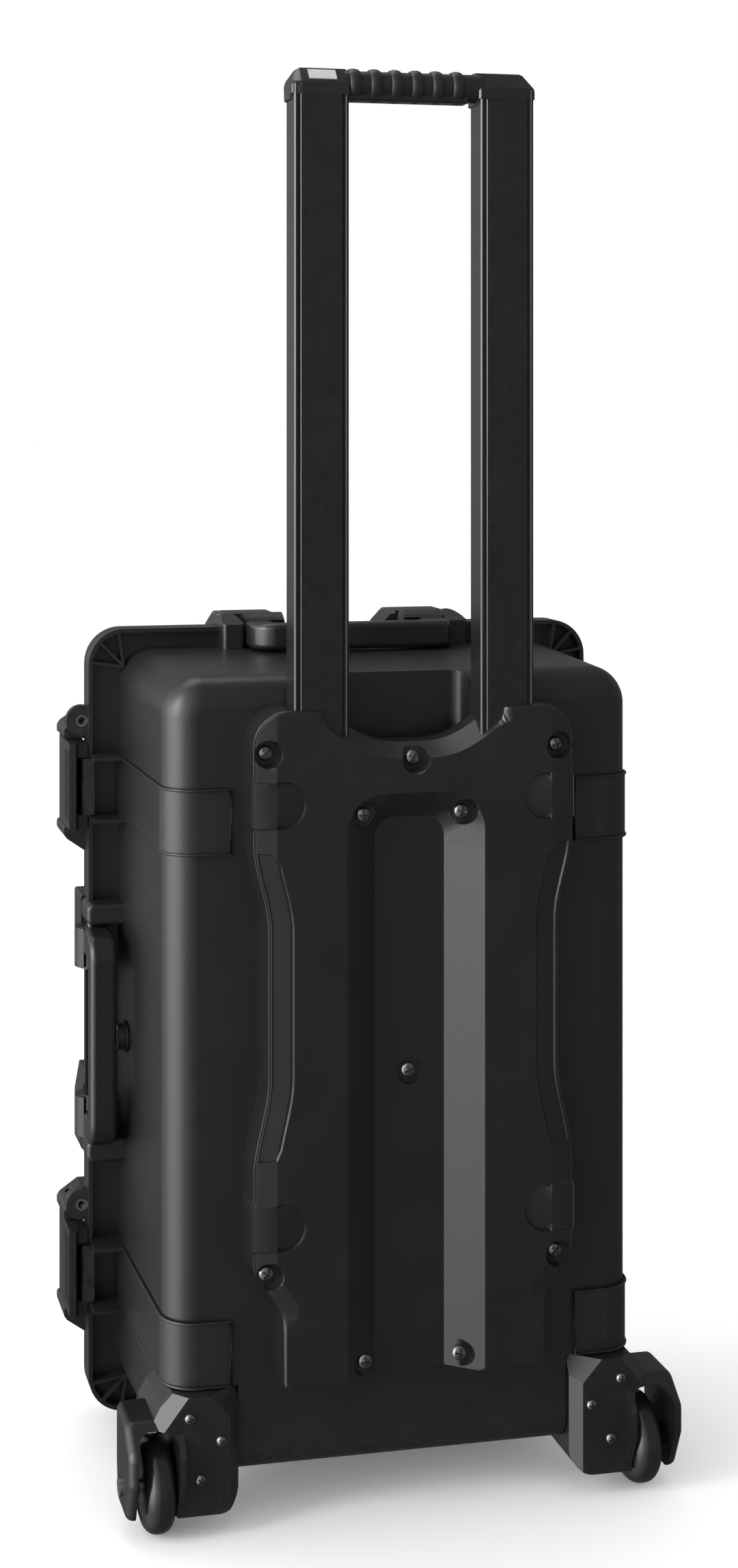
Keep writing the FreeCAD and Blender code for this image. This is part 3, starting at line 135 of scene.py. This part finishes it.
def resample(loop, step):
    """The same closed outline with points no further apart than step."""
    loop = np.asarray(loop, float)
    points = []
    for a, b in zip(loop, np.roll(loop, -1, axis=0)):
        length = np.linalg.norm(b - a)
        if length < 1e-6:
            continue
        count = max(1, math.ceil(length / step))
        points += [a + (b - a) * i / count for i in range(count)]
    return np.array(points)


def inset(loop, amount):
    """An outline moved inwards by an amount; the outline runs anticlockwise."""
    before, after = np.roll(loop, 1, axis=0), np.roll(loop, -1, axis=0)
    first, second = loop - before, after - loop
    first = first / np.linalg.norm(first, axis=1)[:, None]
    second = second / np.linalg.norm(second, axis=1)[:, None]
    along = first + second
    along = along / np.linalg.norm(along, axis=1)[:, None]
    lean = np.clip((first * along).sum(1), 0.5, 1)
    return loop + np.stack([-along[:, 1], along[:, 0]], 1) * (amount / lean)[:, None]


def depth_inside(points, loop):
    """How far each point lies inside a closed outline; negative outside."""
    a, b = loop, np.roll(loop, -1, axis=0)
    edge = b - a
    rel = points[:, None, :] - a[None, :, :]
    along = np.clip((rel * edge).sum(2) / (edge ** 2).sum(1), 0, 1)
    away = np.sqrt(((rel - along[:, :, None] * edge) ** 2).sum(2)).min(1)
    x, y = points[:, None, 0], points[:, None, 1]
    rises = (a[:, 1] > y) != (b[:, 1] > y)
    cross = a[:, 0] + (y - a[:, 1]) * edge[:, 0] / np.where(edge[:, 1] == 0, 1e-12, edge[:, 1])
    odd = ((rises & (x < cross)).sum(1) % 2) == 1
    return np.where(odd, away, -away)


def smooth(value, low, high):
    """Zero below low, one above high, and an even curve between."""
    t = np.clip((value - low) / (high - low), 0, 1)
    return t * t * (3 - 2 * t)


def ramp(value, *pairs):
    """A broken line through (value, result) pairs."""
    return np.interp(value, [p[0] for p in pairs], [p[1] for p in pairs])


def rounded_edge(radius, top, foot=0.8, steps=5):
    """The (distance, height) pairs of a wall that turns over into a flat top with a round edge."""
    pairs = [(0.0, 0.0), (foot, top - radius)]
    for i in range(1, steps + 1):
        turn = math.radians(90 * i / steps)
        pairs.append((foot + radius * (1 - math.cos(turn)), top - radius + radius * math.sin(turn)))
    return pairs


def relief_shape(outline, creases, height, place):
    """Points and faces of a plate whose front follows height(points).

    Creases are the outlines where its slope changes.
    """
    loops = [resample(outline, 3)] + [resample(crease, 2.5) for crease in creases]
    points, edges = [], []
    for loop in loops:
        start = len(points)
        points += [Vector(p) for p in loop]
        edges += [(start + i, start + (i + 1) % len(loop)) for i in range(len(loop))]
    border = list(range(len(loops[0])))
    flat, _, faces, *_ = delaunay_2d_cdt(points, edges, [border], 1, 1e-4)
    spots = np.array([tuple(p) for p in flat])
    heights = np.where(depth_inside(spots, loops[0]) < 1e-3, 0.0, height(spots))
    return [place(u, v, h) for (u, v), h in zip(spots, heights)], [tuple(f) for f in faces]


def relief(name, shapes):
    """One closed object made of plates, each closed by a flat back."""
    points, faces = [], []
    for spots, triangles in shapes:
        start = len(points)
        points += spots
        faces += [tuple(start + i for i in face) for face in triangles]
    made = mesh_object(name, points, faces)
    close = bmesh.new()
    close.from_mesh(made.data)
    bmesh.ops.contextual_create(close, geom=[e for e in close.edges if e.is_boundary])
    bmesh.ops.recalc_face_normals(close, faces=close.faces)
    close.to_mesh(made.data)
    close.free()
    made.data.shade_smooth()
    made.data.set_sharp_from_angle(angle=SMOOTH_ANGLE)
    return made


def skin(rings):
    """Points and faces of a closed skin through rings of equal point counts, with flat ends."""
    count = len(rings[0])
    points = [p for ring in rings for p in ring]
    faces = []
    for r in range(len(rings) - 1):
        for i in range(count):
            j = (i + 1) % count
            faces.append((r * count + i, r * count + j, (r + 1) * count + j, (r + 1) * count + i))
    last = (len(rings) - 1) * count
    return points, faces + [tuple(range(count)), tuple(last + i for i in range(count))]


def joined(name, shapes):
    points, faces = [], []
    for spots, polygons in shapes:
        start = len(points)
        points += spots
        faces += [tuple(start + i for i in face) for face in polygons]
    return mesh_object(name, points, faces)


def turned(profile, centre, steps=48):
    """A closed skin turned round an axis along x; the profile is (x, radius) pairs."""
    turns = [2 * math.pi * i / steps for i in range(steps)]
    return skin([[(x, centre[0] + radius * math.cos(t), centre[1] + radius * math.sin(t)) for t in turns]
                 for x, radius in profile])


# ------------------------------------------------------------------ materials

def add(tree, kind, inputs=(), **settings):
    """A shader node with its inputs set or linked, and its settings."""
    made = tree.nodes.new(kind)
    for key, setting in settings.items():
        setattr(made, key, setting)
    for key, source in dict(inputs).items():
        if isinstance(source, bpy.types.NodeSocket):
            tree.links.new(source, made.inputs[key])
        else:
            made.inputs[key].default_value = source
    return made


def noise(tree, where, size, detail=3.0, stretch=None):
    """Noise whose features are about size millimetres across, from 0 to 1."""
    if stretch:
        where = add(tree, "ShaderNodeMapping", {"Vector": where, "Scale": stretch}).outputs[0]
    return add(tree, "ShaderNodeTexNoise",
               {"Vector": where, "Scale": METRE / size, "Detail": detail, "Roughness": 0.6}).outputs["Fac"]


def spread(tree, source, low, high, out_low=0.0, out_high=1.0):
    """Stretches a value from one range to another, held at both ends."""
    return add(tree, "ShaderNodeMapRange", {"Value": source, "From Min": low, "From Max": high,
                                            "To Min": out_low, "To Max": out_high}).outputs[0]


def blend_colours(tree, share, first, second):
    """A mix of two colours, each a value or a socket."""
    made = add(tree, "ShaderNodeMix", data_type="RGBA")
    for key, source in ((0, share), (6, first), (7, second)):
        if isinstance(source, bpy.types.NodeSocket):
            tree.links.new(source, made.inputs[key])
        else:
            made.inputs[key].default_value = source
    return made.outputs[2]


def maths(tree, operation, first, second):
    made = add(tree, "ShaderNodeMath", operation=operation)
    for key, source in enumerate((first, second)):
        if isinstance(source, bpy.types.NodeSocket):
            tree.links.new(source, made.inputs[key])
        else:
            made.inputs[key].default_value = source
    return made.outputs[0]


def grey(level):
    return (level, level, level, 1.0)


DUST = (0.19, 0.18, 0.165, 1)


def moulded(name, colour, roughness, grain, bite, wear, dust=0.0, metal=0.0, specular=0.5):
    """A moulded surface: fine grain, uneven gloss, scuffs, edges rubbed pale, and dust that lies on top.

    Grain is the size of the surface's pattern and bite its depth, both in millimetres.
    """
    made = bpy.data.materials.new(name)
    made.use_nodes = True
    tree = made.node_tree
    tree.nodes.clear()
    where = add(tree, "ShaderNodeTexCoord").outputs["Object"]
    shape = add(tree, "ShaderNodeNewGeometry")
    cloud = noise(tree, where, 45, 3)
    fleck = noise(tree, where, 5, 4)
    scratch = noise(tree, where, 2.2, 2, (1, 1, 0.035))
    rub = spread(tree, shape.outputs["Pointiness"], 0.56, 0.66)
    rub = maths(tree, "MULTIPLY", rub, spread(tree, fleck, 0.35, 0.65))
    paler = tuple(min(1, c * 1.2 + 0.001) for c in colour[:3]) + (1,)
    worn = tuple(min(1, c * 2 + 0.02) for c in colour[:3]) + (1,)
    base = blend_colours(tree, spread(tree, cloud, 0.35, 0.7, 0, 0.5), colour, paler)
    base = blend_colours(tree, maths(tree, "MULTIPLY", rub, wear), base, worn)
    rough = spread(tree, cloud, 0.3, 0.75, roughness - 0.012, roughness + 0.012)
    rough = maths(tree, "ADD", rough, spread(tree, fleck, 0.3, 0.7, -0.012, 0.015))
    rough = maths(tree, "ADD", rough, spread(tree, scratch, 0.64, 0.74, 0, 0.03))
    if dust:
        up = add(tree, "ShaderNodeSeparateXYZ", {0: shape.outputs["Normal"]}).outputs[2]
        patches = spread(tree, noise(tree, where, 14, 5), 0.4, 0.8)
        lying = maths(tree, "MULTIPLY", spread(tree, up, 0.3, 1.0), patches)
        lying = maths(tree, "MULTIPLY", lying, dust)
        base = blend_colours(tree, lying, base, DUST)
        rough = maths(tree, "ADD", rough, maths(tree, "MULTIPLY", lying, 0.3))
    fine = noise(tree, where, grain, 2)
    cells = add(tree, "ShaderNodeTexVoronoi", {"Vector": where, "Scale": METRE / (grain * 1.6)})
    relief_height = maths(tree, "ADD", fine, maths(tree, "MULTIPLY", cells.outputs["Distance"], 0.7))
    scored = maths(tree, "MULTIPLY", spread(tree, scratch, 0.6, 0.75), -0.125)
    relief_height = maths(tree, "ADD", relief_height, scored)
    bump = add(tree, "ShaderNodeBump", {"Strength": 1.0, "Distance": bite / METRE, "Height": relief_height})
    shader = add(tree, "ShaderNodeBsdfPrincipled", {
        "Base Color": base, "Roughness": rough, "Normal": bump.outputs[0], "Metallic": metal,
        "Specular IOR Level": specular})
    finish = add(tree, "ShaderNodeOutputMaterial")
    tree.links.new(shader.outputs[0], finish.inputs[0])
    return made


MATERIALS = {
    "shell_plastic": moulded("case shell plastic", grey(0.0075), 0.36, 0.9, 0.020, 0.3, dust=0.03),
    "cover_plastic": moulded("trolley cover plastic", grey(0.0072), 0.32, 0.9, 0.020, 0.3, dust=0.03),
    "latch_plastic": moulded("latch plastic", grey(0.0080), 0.32, 0.8, 0.012, 0.4, dust=0.04),
    "handle_plastic": moulded("handle plastic", grey(0.0070), 0.30, 0.9, 0.014, 0.3, dust=0.03),
    "soft_rubber": moulded("soft rubber", grey(0.0090), 0.42, 0.7, 0.030, 0.3, dust=0.05, specular=0.4),
    "post_plastic": moulded("post plastic", grey(0.0060), 0.24, 1.4, 0.006, 0.2, dust=0.02),
    "shoe_plastic": moulded("slide shoe plastic", grey(0.020), 0.45, 0.8, 0.02, 0.3),
    "button_grey": moulded("grey button plastic", grey(0.36), 0.40, 0.7, 0.012, 0.2, dust=0.05),
    "steel": moulded("screw steel", grey(0.24), 0.34, 0.35, 0.004, 0.3, metal=1.0),
    "wheel_tread": moulded("wheel tread", grey(0.0100), 0.20, 1.2, 0.010, 0.2, dust=0.04),
    "hub_plastic": moulded("hub plastic", grey(0.0100), 0.36, 0.8, 0.014, 0.3, dust=0.03),
    "valve_plastic": moulded("valve plastic", grey(0.0090), 0.33, 0.8, 0.014, 0.3),
}

for part in frame["record"]["subparts"]:
    shown = frame["nodes"][part["node"]]
    shown.data.materials.clear()
    shown.data.materials.append(MATERIALS[part["material_slot"]])


# ------------------------------------------------------------------ trolley cover

COVER = Span("trolley_cover")
COVER_DEEP = COVER.size[1]
SHOULDER = COVER.high[0]             # half width at the shoulders
SADDLE = 64                          # half width of the dip in the top edge
SADDLE_DEEP = 24
FOOT = SHOULDER - 20                 # half width at the foot
WAIST = SHOULDER - 10
MARGIN = 16                          # width of the sloped margin along each side
TROUGH = 47                          # half width of the trough at the front
TROUGH_FLOOR = 24
TROUGH_DEEP = 16
PIT = 9                              # radius of the recess round each screw
PIT_FLOOR = COVER_DEEP - 10
STRAPS = (476.5, 203.5)              # heights of the strap loops' middles
STRAP_HALF = 15.5
STRIP = (246, 446)                   # lower and upper end of the side strips
EDGE_RADIUS = 2.4
MARGIN_DROP = 3.2                    # how far the margin slopes back
TOP_DROP = 15                        # how far the top corners slope back
STRAP_SUNK = 2.0                     # the strap loops are recessed in the face
STRAP_PROUD = 0.8                    # and raised on the margin
STRIP_SUNK = 1.4
STEP = 0.9                           # width of the steep edge round a recess
FINE = 2.5                           # distance between points of a crease
SCREWS = ((99.8, 509.7), (-99.8, 509.7), (0, 503.7), (33.7, 467.3), (-33.7, 467.3), (0, 295.6),
          (99, 172), (-99, 172), (32.4, 109), (-32.4, 109))


def cover_half_width(height):
    """Half width of the cover at a height, without its corner radii."""
    up = smooth(height, 141, 181)
    wide = FOOT + (SHOULDER - FOOT) * up
    waist = smooth(height, 236, 300) * (1 - smooth(height, 395, 452))
    return wide - (SHOULDER - WAIST) * waist


def cover_outline():
    low, high = COVER.low[2], COVER.high[2]
    right = [(FOOT - 2, low)]
    right += [(float(cover_half_width(z)) + 1.2 * any(abs(z - s) < STRAP_HALF for s in STRAPS), z)
              for z in np.arange(low + 2, high - 24, 2.0)]
    right += arc((SHOULDER - 24, high - 24), 24, 0, 90)
    right += [(SADDLE * (1 - t), high - SADDLE_DEEP * math.sin(math.pi / 2 * smooth(t, -0.1, 1)))
              for t in np.linspace(0, 1, 20)]
    left = [(-x, z) for x, z in reversed(right[:-1])]
    return np.array(right + left)


def strap_outline(side, middle):
    round_end = arc((74.5 + STRAP_HALF, middle), STRAP_HALF, 90, 270, 8)
    outer = [(SHOULDER + 6, middle - STRAP_HALF), (SHOULDER + 6, middle + STRAP_HALF)]
    points = round_end + outer
    return np.array(points) if side > 0 else np.array([(-x, z) for x, z in reversed(points)])


def strip_outline(side):
    low, high = STRIP
    heights = np.arange(low, high + 1, 8.0)
    outer = [(float(cover_half_width(z)) - 3.2, z) for z in heights]
    inner = [(float(cover_half_width(z)) - 17.5, z) for z in heights[1:-1][::-1]]
    inner = [(cover_half_width(high) - 12, high - 1)] + inner + [(cover_half_width(low) - 15.5, low + 1)]
    points = outer + [(float(x), z) for x, z in inner]
    return np.array(points) if side > 0 else np.array([(-x, z) for x, z in reversed(points)])


def trolley_cover():
    outline = cover_outline()
    trough = rounded_box(-TROUGH, TROUGH, COVER.low[2] - 40, 482, (2, 26, 26, 2))
    floor = rounded_box(-TROUGH_FLOOR, TROUGH_FLOOR, COVER.low[2] - 40, 464, (2, 14, 14, 2))
    straps = [strap_outline(side, z) for side in (-1, 1) for z in STRAPS]
    strips = [strip_outline(side) for side in (-1, 1)]
    edge = rounded_edge(EDGE_RADIUS, COVER_DEEP)
    body_floor = COVER_DEEP - TROUGH_DEEP

    def height(spots):
        side = np.abs(spots[:, 0])
        within = depth_inside(spots, outline)
        tall = ramp(within, *edge)
        wide = cover_half_width(spots[:, 1])
        start = np.minimum(SHOULDER - MARGIN, wide - MARGIN + 1)
        slope = np.clip((side - start) / MARGIN, 0, 1)
        tall = tall - MARGIN_DROP * slope * smooth(spots[:, 1], 135, 150) * np.clip(within / 2, 0, 1)
        saddle = 1 - smooth(side, 50, 66)
        top = np.clip(1 - within / 10, 0, 1) * (spots[:, 1] > 500) * saddle
        tall = np.minimum(tall, COVER_DEEP - TOP_DROP * top)
        on_face = np.clip((start - side) / 1.5, 0, 1)
        for strap in straps:
            inside = np.clip(depth_inside(spots, strap) / STEP, 0, 1)
            proud = STRAP_PROUD * inside * (1 - on_face) * (within > 0.5)
            tall = tall - STRAP_SUNK * inside * on_face + proud
        for strip in strips:
            tall = tall - STRIP_SUNK * np.clip(depth_inside(spots, strip) / STEP, 0, 1)
        in_trough = depth_inside(spots, trough)
        in_floor = depth_inside(spots, floor)
        on_wall = np.clip(in_trough / np.maximum(in_trough - in_floor, 1e-6), 0, 1)
        share = np.where(in_floor >= 0, 1, on_wall)
        tall = np.minimum(tall, COVER_DEEP - TROUGH_DEEP * share)
        for u, v in SCREWS:
            away = np.hypot(spots[:, 0] - u, spots[:, 1] - v)
            bottom = PIT_FLOOR if abs(u) > 1 or v > 400 else body_floor - 3
            pit = ramp(away, (PIT - 0.5, bottom), (PIT, COVER_DEEP - 1.2), (PIT + 0.8, COVER_DEEP + 3))
            tall = np.minimum(tall, pit)
        return np.maximum(tall, 0.05)

    creases = [inset(resample(outline, 3), d) for d, _ in edge[1:]] + [inset(resample(outline, 3), 10)]
    margin_line = [(min(SHOULDER - MARGIN, float(cover_half_width(z)) - MARGIN + 1), z)
                   for z in np.arange(152, 530, 6.0)]
    for sign in (-1, 1):
        line = [(sign * x, z) for x, z in margin_line]
        creases.append(np.array(line + [(x - sign * 0.4, z) for x, z in reversed(line)]))
    for shape in straps + strips:
        creases += [shape, inset(resample(shape, FINE), STEP)]
    creases += [trough, floor]
    for u, v in SCREWS:
        creases += [np.array(arc((u, v), r, 0, 345, 15)) for r in (PIT - 0.5, PIT, PIT + 0.8)]
    limit = inset(resample(outline, 3), 0.3)
    creases = clip_loops([resample(crease, FINE) for crease in creases], limit)
    plate = relief_shape(outline, creases, height, lambda u, v, h: (u, COVER.high[1] - h, v))
    obj = relief("trolley_cover_moulding", [plate])
    return settle(obj, "trolley_cover_moulding", "base", MATERIALS["cover_plastic"],
                  ["trolley_cover"])


def clip_loops(loops, limit):
    """Pulls the points of outlines that leave the limit back onto it, so every crease stays inside."""
    kept = []
    for loop in loops:
        inner = depth_inside(loop, limit)
        moved = loop.copy()
        for i in np.nonzero(inner < 0)[0]:
            gaps = np.linalg.norm(limit - loop[i], axis=1)
            moved[i] = limit[int(gaps.argmin())]
        kept.append(moved)
    return kept


trolley_cover()


# ------------------------------------------------------------------ posts and grip

def post(side):
    """A post's section with a bead and a groove along both front edges, drawn out to its full length."""
    box = Span("trolley_post_left" if side < 0 else "trolley_post_right")
    wide, deep = box.size[0], box.size[1]
    half = [(0, deep), (0, 1.25), (0.12, 0.95), (0.88, 0.14), (1.2, 0), (1.9, 0), (2.15, 0.2), (2.3, 1.2),
            (2.6, 1.5), (3.5, 1.5), (3.8, 1.3), (4.05, 0.85), (4.65, 0.15), (4.95, 0)]
    section = half + [(wide - u, v) for u, v in reversed(half)]
    rings = [[(box.low[0] + u, box.low[1] + v, z) for u, v in section] for z in (box.low[2], box.high[2])]
    name = "left" if side < 0 else "right"
    obj = joined(f"post_{name}_extrusion", [skin(rings)])
    return settle(obj, obj.name, "trolley", MATERIALS["post_plastic"],
                  [f"trolley_post_{name}"])


BAR_RADIUS = 9.4
RING_PITCH = 14.1
RING_HALF = 3.9                      # half width of a ring
RING_RISE = 1.6
BUTTON = (-71, -52.6)                # left and right end of the release button


def grip():
    """The caps over the posts' ends and the bar between them, its raised rings, and the button."""
    grip_box, post_box = Span("trolley_grip"), Span("trolley_post_right")
    front, top = post_box.low[1], grip_box.high[2]
    back = post_box.high[1] + 3.5
    shapes = []
    for side in (-1, 1):
        inner, outer = post_box.low[0] - 1, grip_box.high[0]
        section = [(back, top - 22), (back + 1, top - 8), (back - 2, top - 1.5), (back - 5, top),
                   (front + 11, top), (front + 9.5, top - 0.6), (front + 2, top - 9.4),
                   (front + 0.6, top - 11), (front - 0.3, top - 13), (front - 0.3, top - 18.5),
                   (front + 3.5, top - 19), (front + 6, top - 22)]
        rings = []
        for x, shrink, drop in ((inner, 1.2, 0), (inner + 1.2, 0, 0), (outer - 8, 0, 0),
                                (outer - 6, 0.3, 1), (outer - 1.6, 1, 7), (outer - 0.4, 2, 10),
                                (outer, 3, 12)):
            ring = []
            for y, z in section:
                middle_y, middle_z = (front + back) / 2, top - 14
                y += shrink * (1 if y < middle_y else -1)
                limit = top - drop - 0.3 * shrink
                ring.append((side * x, y, min(z, limit) if z > middle_z else z + 0.3 * shrink))
            rings.append(ring)
        shapes.append(skin(rings if side > 0 else rings[::-1]))
    half = post_box.low[0]
    middle = (front + 10, top - 11)
    shapes.append(turned([(-half - 2, BAR_RADIUS), (half + 2, BAR_RADIUS)], middle))
    ledge = rounded_box(front + 2.5, front + 16, top - 21.6, top - 16.5, (1.5, 1.5, 1.5, 1.5), 30)
    stations = (-half - 2, -half + 4, half - 12, half - 8)
    shapes.append(skin([[(x, u, v) for u, v in ledge] for x in stations]))
    obj = joined("trolley_grip_moulding", shapes)
    settle(obj, obj.name, "trolley", MATERIALS["handle_plastic"], ["trolley_grip"])
    bumps = []
    for i in range(6):
        centre = RING_PITCH * (i - 3) + 2.3
        profile = [(centre + RING_HALF * math.sin(t), BAR_RADIUS + 0.1 + RING_RISE * math.cos(t))
                   for t in np.linspace(-math.pi / 2, math.pi / 2, 11)]
        bumps.append(turned(profile, middle))
    away, up = 0.649, 0.761          # the direction of the caps' sloped face
    plate = [(front + 2 + away * s - up * n, top - 9.4 + up * s + away * n)
             for s, n in ((1.5, -1.5), (9.8, -1.5), (9.8, 0.8), (9.3, 1.1), (2.2, 1.1), (1.5, 0.7))]
    button = joined("release_button_pad", [skin([[(x, u, v) for u, v in plate] for x in BUTTON])])
    settle(button, button.name, "button", MATERIALS["button_grey"], ["release_button"])
    rings_box = Span("trolley_grip_rings")
    obj = joined("grip_ring_mouldings", bumps)
    for vertex in obj.data.vertices:
        vertex.co.z = min(vertex.co.z, (rings_box.high[2] + 0.4) / METRE)
    settle(obj, obj.name, "trolley", MATERIALS["soft_rubber"], ["trolley_grip_rings"])


for side in (-1, 1):
    post(side)
grip()


# ------------------------------------------------------------------ screws

HEAD_TALL = 2.4
HOUSING_SCREWS = ((148.5, 79.6), (127.5, 63.5), (141.4, 39.7))


def cross(arm, wide, turn):
    """The outline of a cross recess."""
    points = []
    for i in range(4):
        quarter = turn + i * math.pi / 2
        for u, v in ((wide, -wide), (arm, -wide), (arm + 0.15, 0), (arm, wide)):
            points.append((u * math.cos(quarter) - v * math.sin(quarter),
                           u * math.sin(quarter) + v * math.cos(quarter)))
    return np.array(points)


def screw_head(u, v, radius, y, tall, turn):
    """A pan head with a cross recess, facing the front, at a height and with its seat at a depth."""
    centre = np.array((u, v))
    disc = np.array(arc((0, 0), radius, 0, 348, 12)) + centre
    recess = cross(radius * 0.62, radius * 0.13, turn) + centre
    deep = cross(radius * 0.50, radius * 0.07, turn) + centre
    rings = [np.array(arc((0, 0), radius * share, 0, 345, 15)) + centre for share in (0.97, 0.88, 0.72)]

    def height(spots):
        away = np.hypot(spots[:, 0] - u, spots[:, 1] - v) / radius
        dome = tall * np.sqrt(np.clip(1 - (away * 0.97) ** 3, 0.05, 1))
        return dome - 1.5 * np.clip(depth_inside(spots, recess) / (radius * 0.06), 0, 1)

    return relief_shape(disc, rings + [recess, deep], height, lambda a, b, h: (a, y - h, b))


def screws(name, node, body, spots, radius):
    """All the heads of one kind, each with its own turn; spots are (x, z, seat depth)."""
    shapes = [screw_head(u, v, radius, seat, HEAD_TALL, 0.35 + 1.9 * i)
              for i, (u, v, seat) in enumerate(spots)]
    return settle(relief(name, shapes), name, body, MATERIALS["steel"], [node])


def cover_seat(u, v):
    """The depth of a cover screw's seat: deeper for the one in the middle of the trough."""
    return COVER.low[1] + (10 if abs(u) > 1 or v > 400 else TROUGH_DEEP + 3)


screws("cover_screw_heads", "trolley_cover_screws", "base",
       [(u, v, cover_seat(u, v)) for u, v in SCREWS], 5)
housing_seat = Span("wheel_housing_screws").low[1] + HEAD_TALL
screws("housing_screw_heads", "wheel_housing_screws", "base",
       [(sign * u, v, housing_seat) for sign in (-1, 1) for u, v in HOUSING_SCREWS], 3.6)


# ------------------------------------------------------------------ thin lines round the latch bands

BANDS = (463.0, 115.5)               # heights of the bands' middles
BAND_HALF = 21.0


def tube(path, radius, steps=8):
    """A closed round bead along a path, with domed ends."""
    path = [Vector(p) for p in path]
    around = np.linspace(0, 2 * math.pi, steps, endpoint=False)
    last = len(path) - 1
    rings = []
    for i, spot in enumerate(path):
        turn = (path[min(i + 1, last)] - path[max(i - 1, 0)]).to_track_quat("Z", "Y")
        sections = {0: [(0.3, -0.8), (0.75, -0.5), (1, 0)],
                    last: [(1, 0), (0.75, 0.5), (0.3, 0.8)]}.get(i, [(1, 0)])
        for share, along in sections:
            wide = radius * share
            rings.append([spot + turn @ Vector((wide * math.cos(t), wide * math.sin(t), radius * along))
                          for t in around])
    return skin(rings)


def band_beads():
    """A thin raised line along both edges of each moulded band, joined by an upright line at its end."""
    face = Span("base_shell").low[1]
    outer = [(-166.4, 150.0), (-165.2, 110.0), (-164.1, 70.0), (-163.2, 40.0), (-162.6, 20.5)]
    bend = arc((-141.0, 20.5), 21.6, 180, 265, 9)
    flat = [(-136.0, -0.9), (-119.0, -0.9)]
    shapes = []
    for sign in (-1, 1):
        for middle in BANDS:
            lower = [(-sign * x, face + y, middle - BAND_HALF) for x, y in outer + bend + flat]
            upper = [(x, y, middle + BAND_HALF) for x, y, _ in lower][::-1]
            shapes.append(tube(lower + upper, 1.0))
    obj = joined("band_edge_lines", shapes)
    settle(obj, obj.name, "base", MATERIALS["shell_plastic"])


band_beads()


# ------------------------------------------------------------------ studio

def aim(obj, target):
    obj.rotation_euler = (Vector(target) - obj.location).to_track_quat("-Z", "Y").to_euler()


def soft_light(name, place, target, size, power):
    lamp = bpy.data.lights.new(name, "AREA")
    lamp.shape = "RECTANGLE"
    lamp.size, lamp.size_y = size
    lamp.energy = power
    obj = bpy.data.objects.new(name, lamp)
    bpy.context.scene.collection.objects.link(obj)
    obj.location = place
    aim(obj, target)


FLOOR_HALF = 40.0                    # metres, as are all lengths in this section
CAMERA_SIDE = -0.4436                # from the middle of the case
CAMERA_PLACE = (-1.494, 0.7338)      # depth and height
CAMERA_TURN = -11.76                 # degrees
LENS = 50.4
LENS_SHIFT = (0.12, -0.24)


def pale_floor():
    floor_mesh = bpy.data.meshes.new("floor")
    corners = [(u * FLOOR_HALF, v * FLOOR_HALF, 0) for u, v in ((-1, -1), (1, -1), (1, 1), (-1, 1))]
    floor_mesh.from_pydata(corners, [], [(0, 1, 2, 3)])
    floor = bpy.data.objects.new("floor", floor_mesh)
    bpy.context.scene.collection.objects.link(floor)
    floor.location.z = cad_box[0].z
    pale = bpy.data.materials.new("pale floor")
    pale.use_nodes = True
    surface = pale.node_tree.nodes["Principled BSDF"].inputs
    surface["Base Color"].default_value = grey(0.86)
    surface["Roughness"].default_value = 0.7
    surface["Emission Color"].default_value = grey(1)
    surface["Emission Strength"].default_value = 0.10
    floor_mesh.materials.append(pale)
    floor.visible_glossy = False


def lights():
    """Two soft lamps, and a world that is a bright window on the left for reflections only."""
    soft_light("window light", (-1.9, -0.75, 1.3), (0, 0, 0.5), (0.45, 1.5), 16)
    soft_light("top light", (-0.3, 0.6, 2.4), (0, 0, 0.4), (1.4, 0.9), 10)

    world = bpy.data.worlds.new("studio")
    bpy.context.scene.world = world
    world.use_nodes = True
    tree = world.node_tree
    tree.nodes.clear()
    direction = add(tree, "ShaderNodeTexCoord").outputs["Generated"]
    way = add(tree, "ShaderNodeSeparateXYZ", {0: direction}).outputs
    leftward = maths(tree, "MULTIPLY", spread(tree, way[0], 0.05, -0.35, 0.08, 0.25),
                     spread(tree, way[2], -0.2, 0.0, 0.3, 1.0))
    facing = maths(tree, "ADD", maths(tree, "MULTIPLY", way[0], -0.97),
                   maths(tree, "MULTIPLY", way[1], -0.25))
    glow = maths(tree, "ADD", spread(tree, facing, 0.15, 0.9, 0.12, 1.8),
                 spread(tree, facing, 0.74, 0.97, 0, 4.0))
    panel = maths(tree, "MULTIPLY", glow, spread(tree, way[2], -0.5, 0.1, 0.55, 1.1))
    room = maths(tree, "ADD", leftward, panel)
    path = add(tree, "ShaderNodeLightPath")
    room_colour = add(tree, "ShaderNodeCombineColor", {0: room, 1: room, 2: room}).outputs[0]
    colour = blend_colours(tree, path.outputs["Is Diffuse Ray"], room_colour, grey(1.0))
    colour = blend_colours(tree, path.outputs["Is Camera Ray"], colour, grey(1.0))
    light = add(tree, "ShaderNodeBackground", {"Color": colour, "Strength": 1.0})
    finish = add(tree, "ShaderNodeOutputWorld")
    tree.links.new(light.outputs[0], finish.inputs[0])


def camera():
    """The main viewpoint, in front of the case and well to its left, turned a little towards it."""
    scene = bpy.context.scene
    scene.view_settings.view_transform = "Standard"
    lens = bpy.data.cameras.new("camera")
    lens.sensor_fit = "AUTO"
    lens.sensor_width = 36
    lens.lens = LENS
    lens.shift_x, lens.shift_y = LENS_SHIFT
    lens.clip_start, lens.clip_end = 0.05, 50
    eye = bpy.data.objects.new("camera", lens)
    scene.collection.objects.link(eye)
    middle = (cad_box[0].x + cad_box[1].x) / 2
    eye.location = (middle + CAMERA_SIDE, *CAMERA_PLACE)
    eye.rotation_euler = (math.radians(90), 0, math.radians(CAMERA_TURN))
    scene.camera = eye


pale_floor()
lights()
camera()
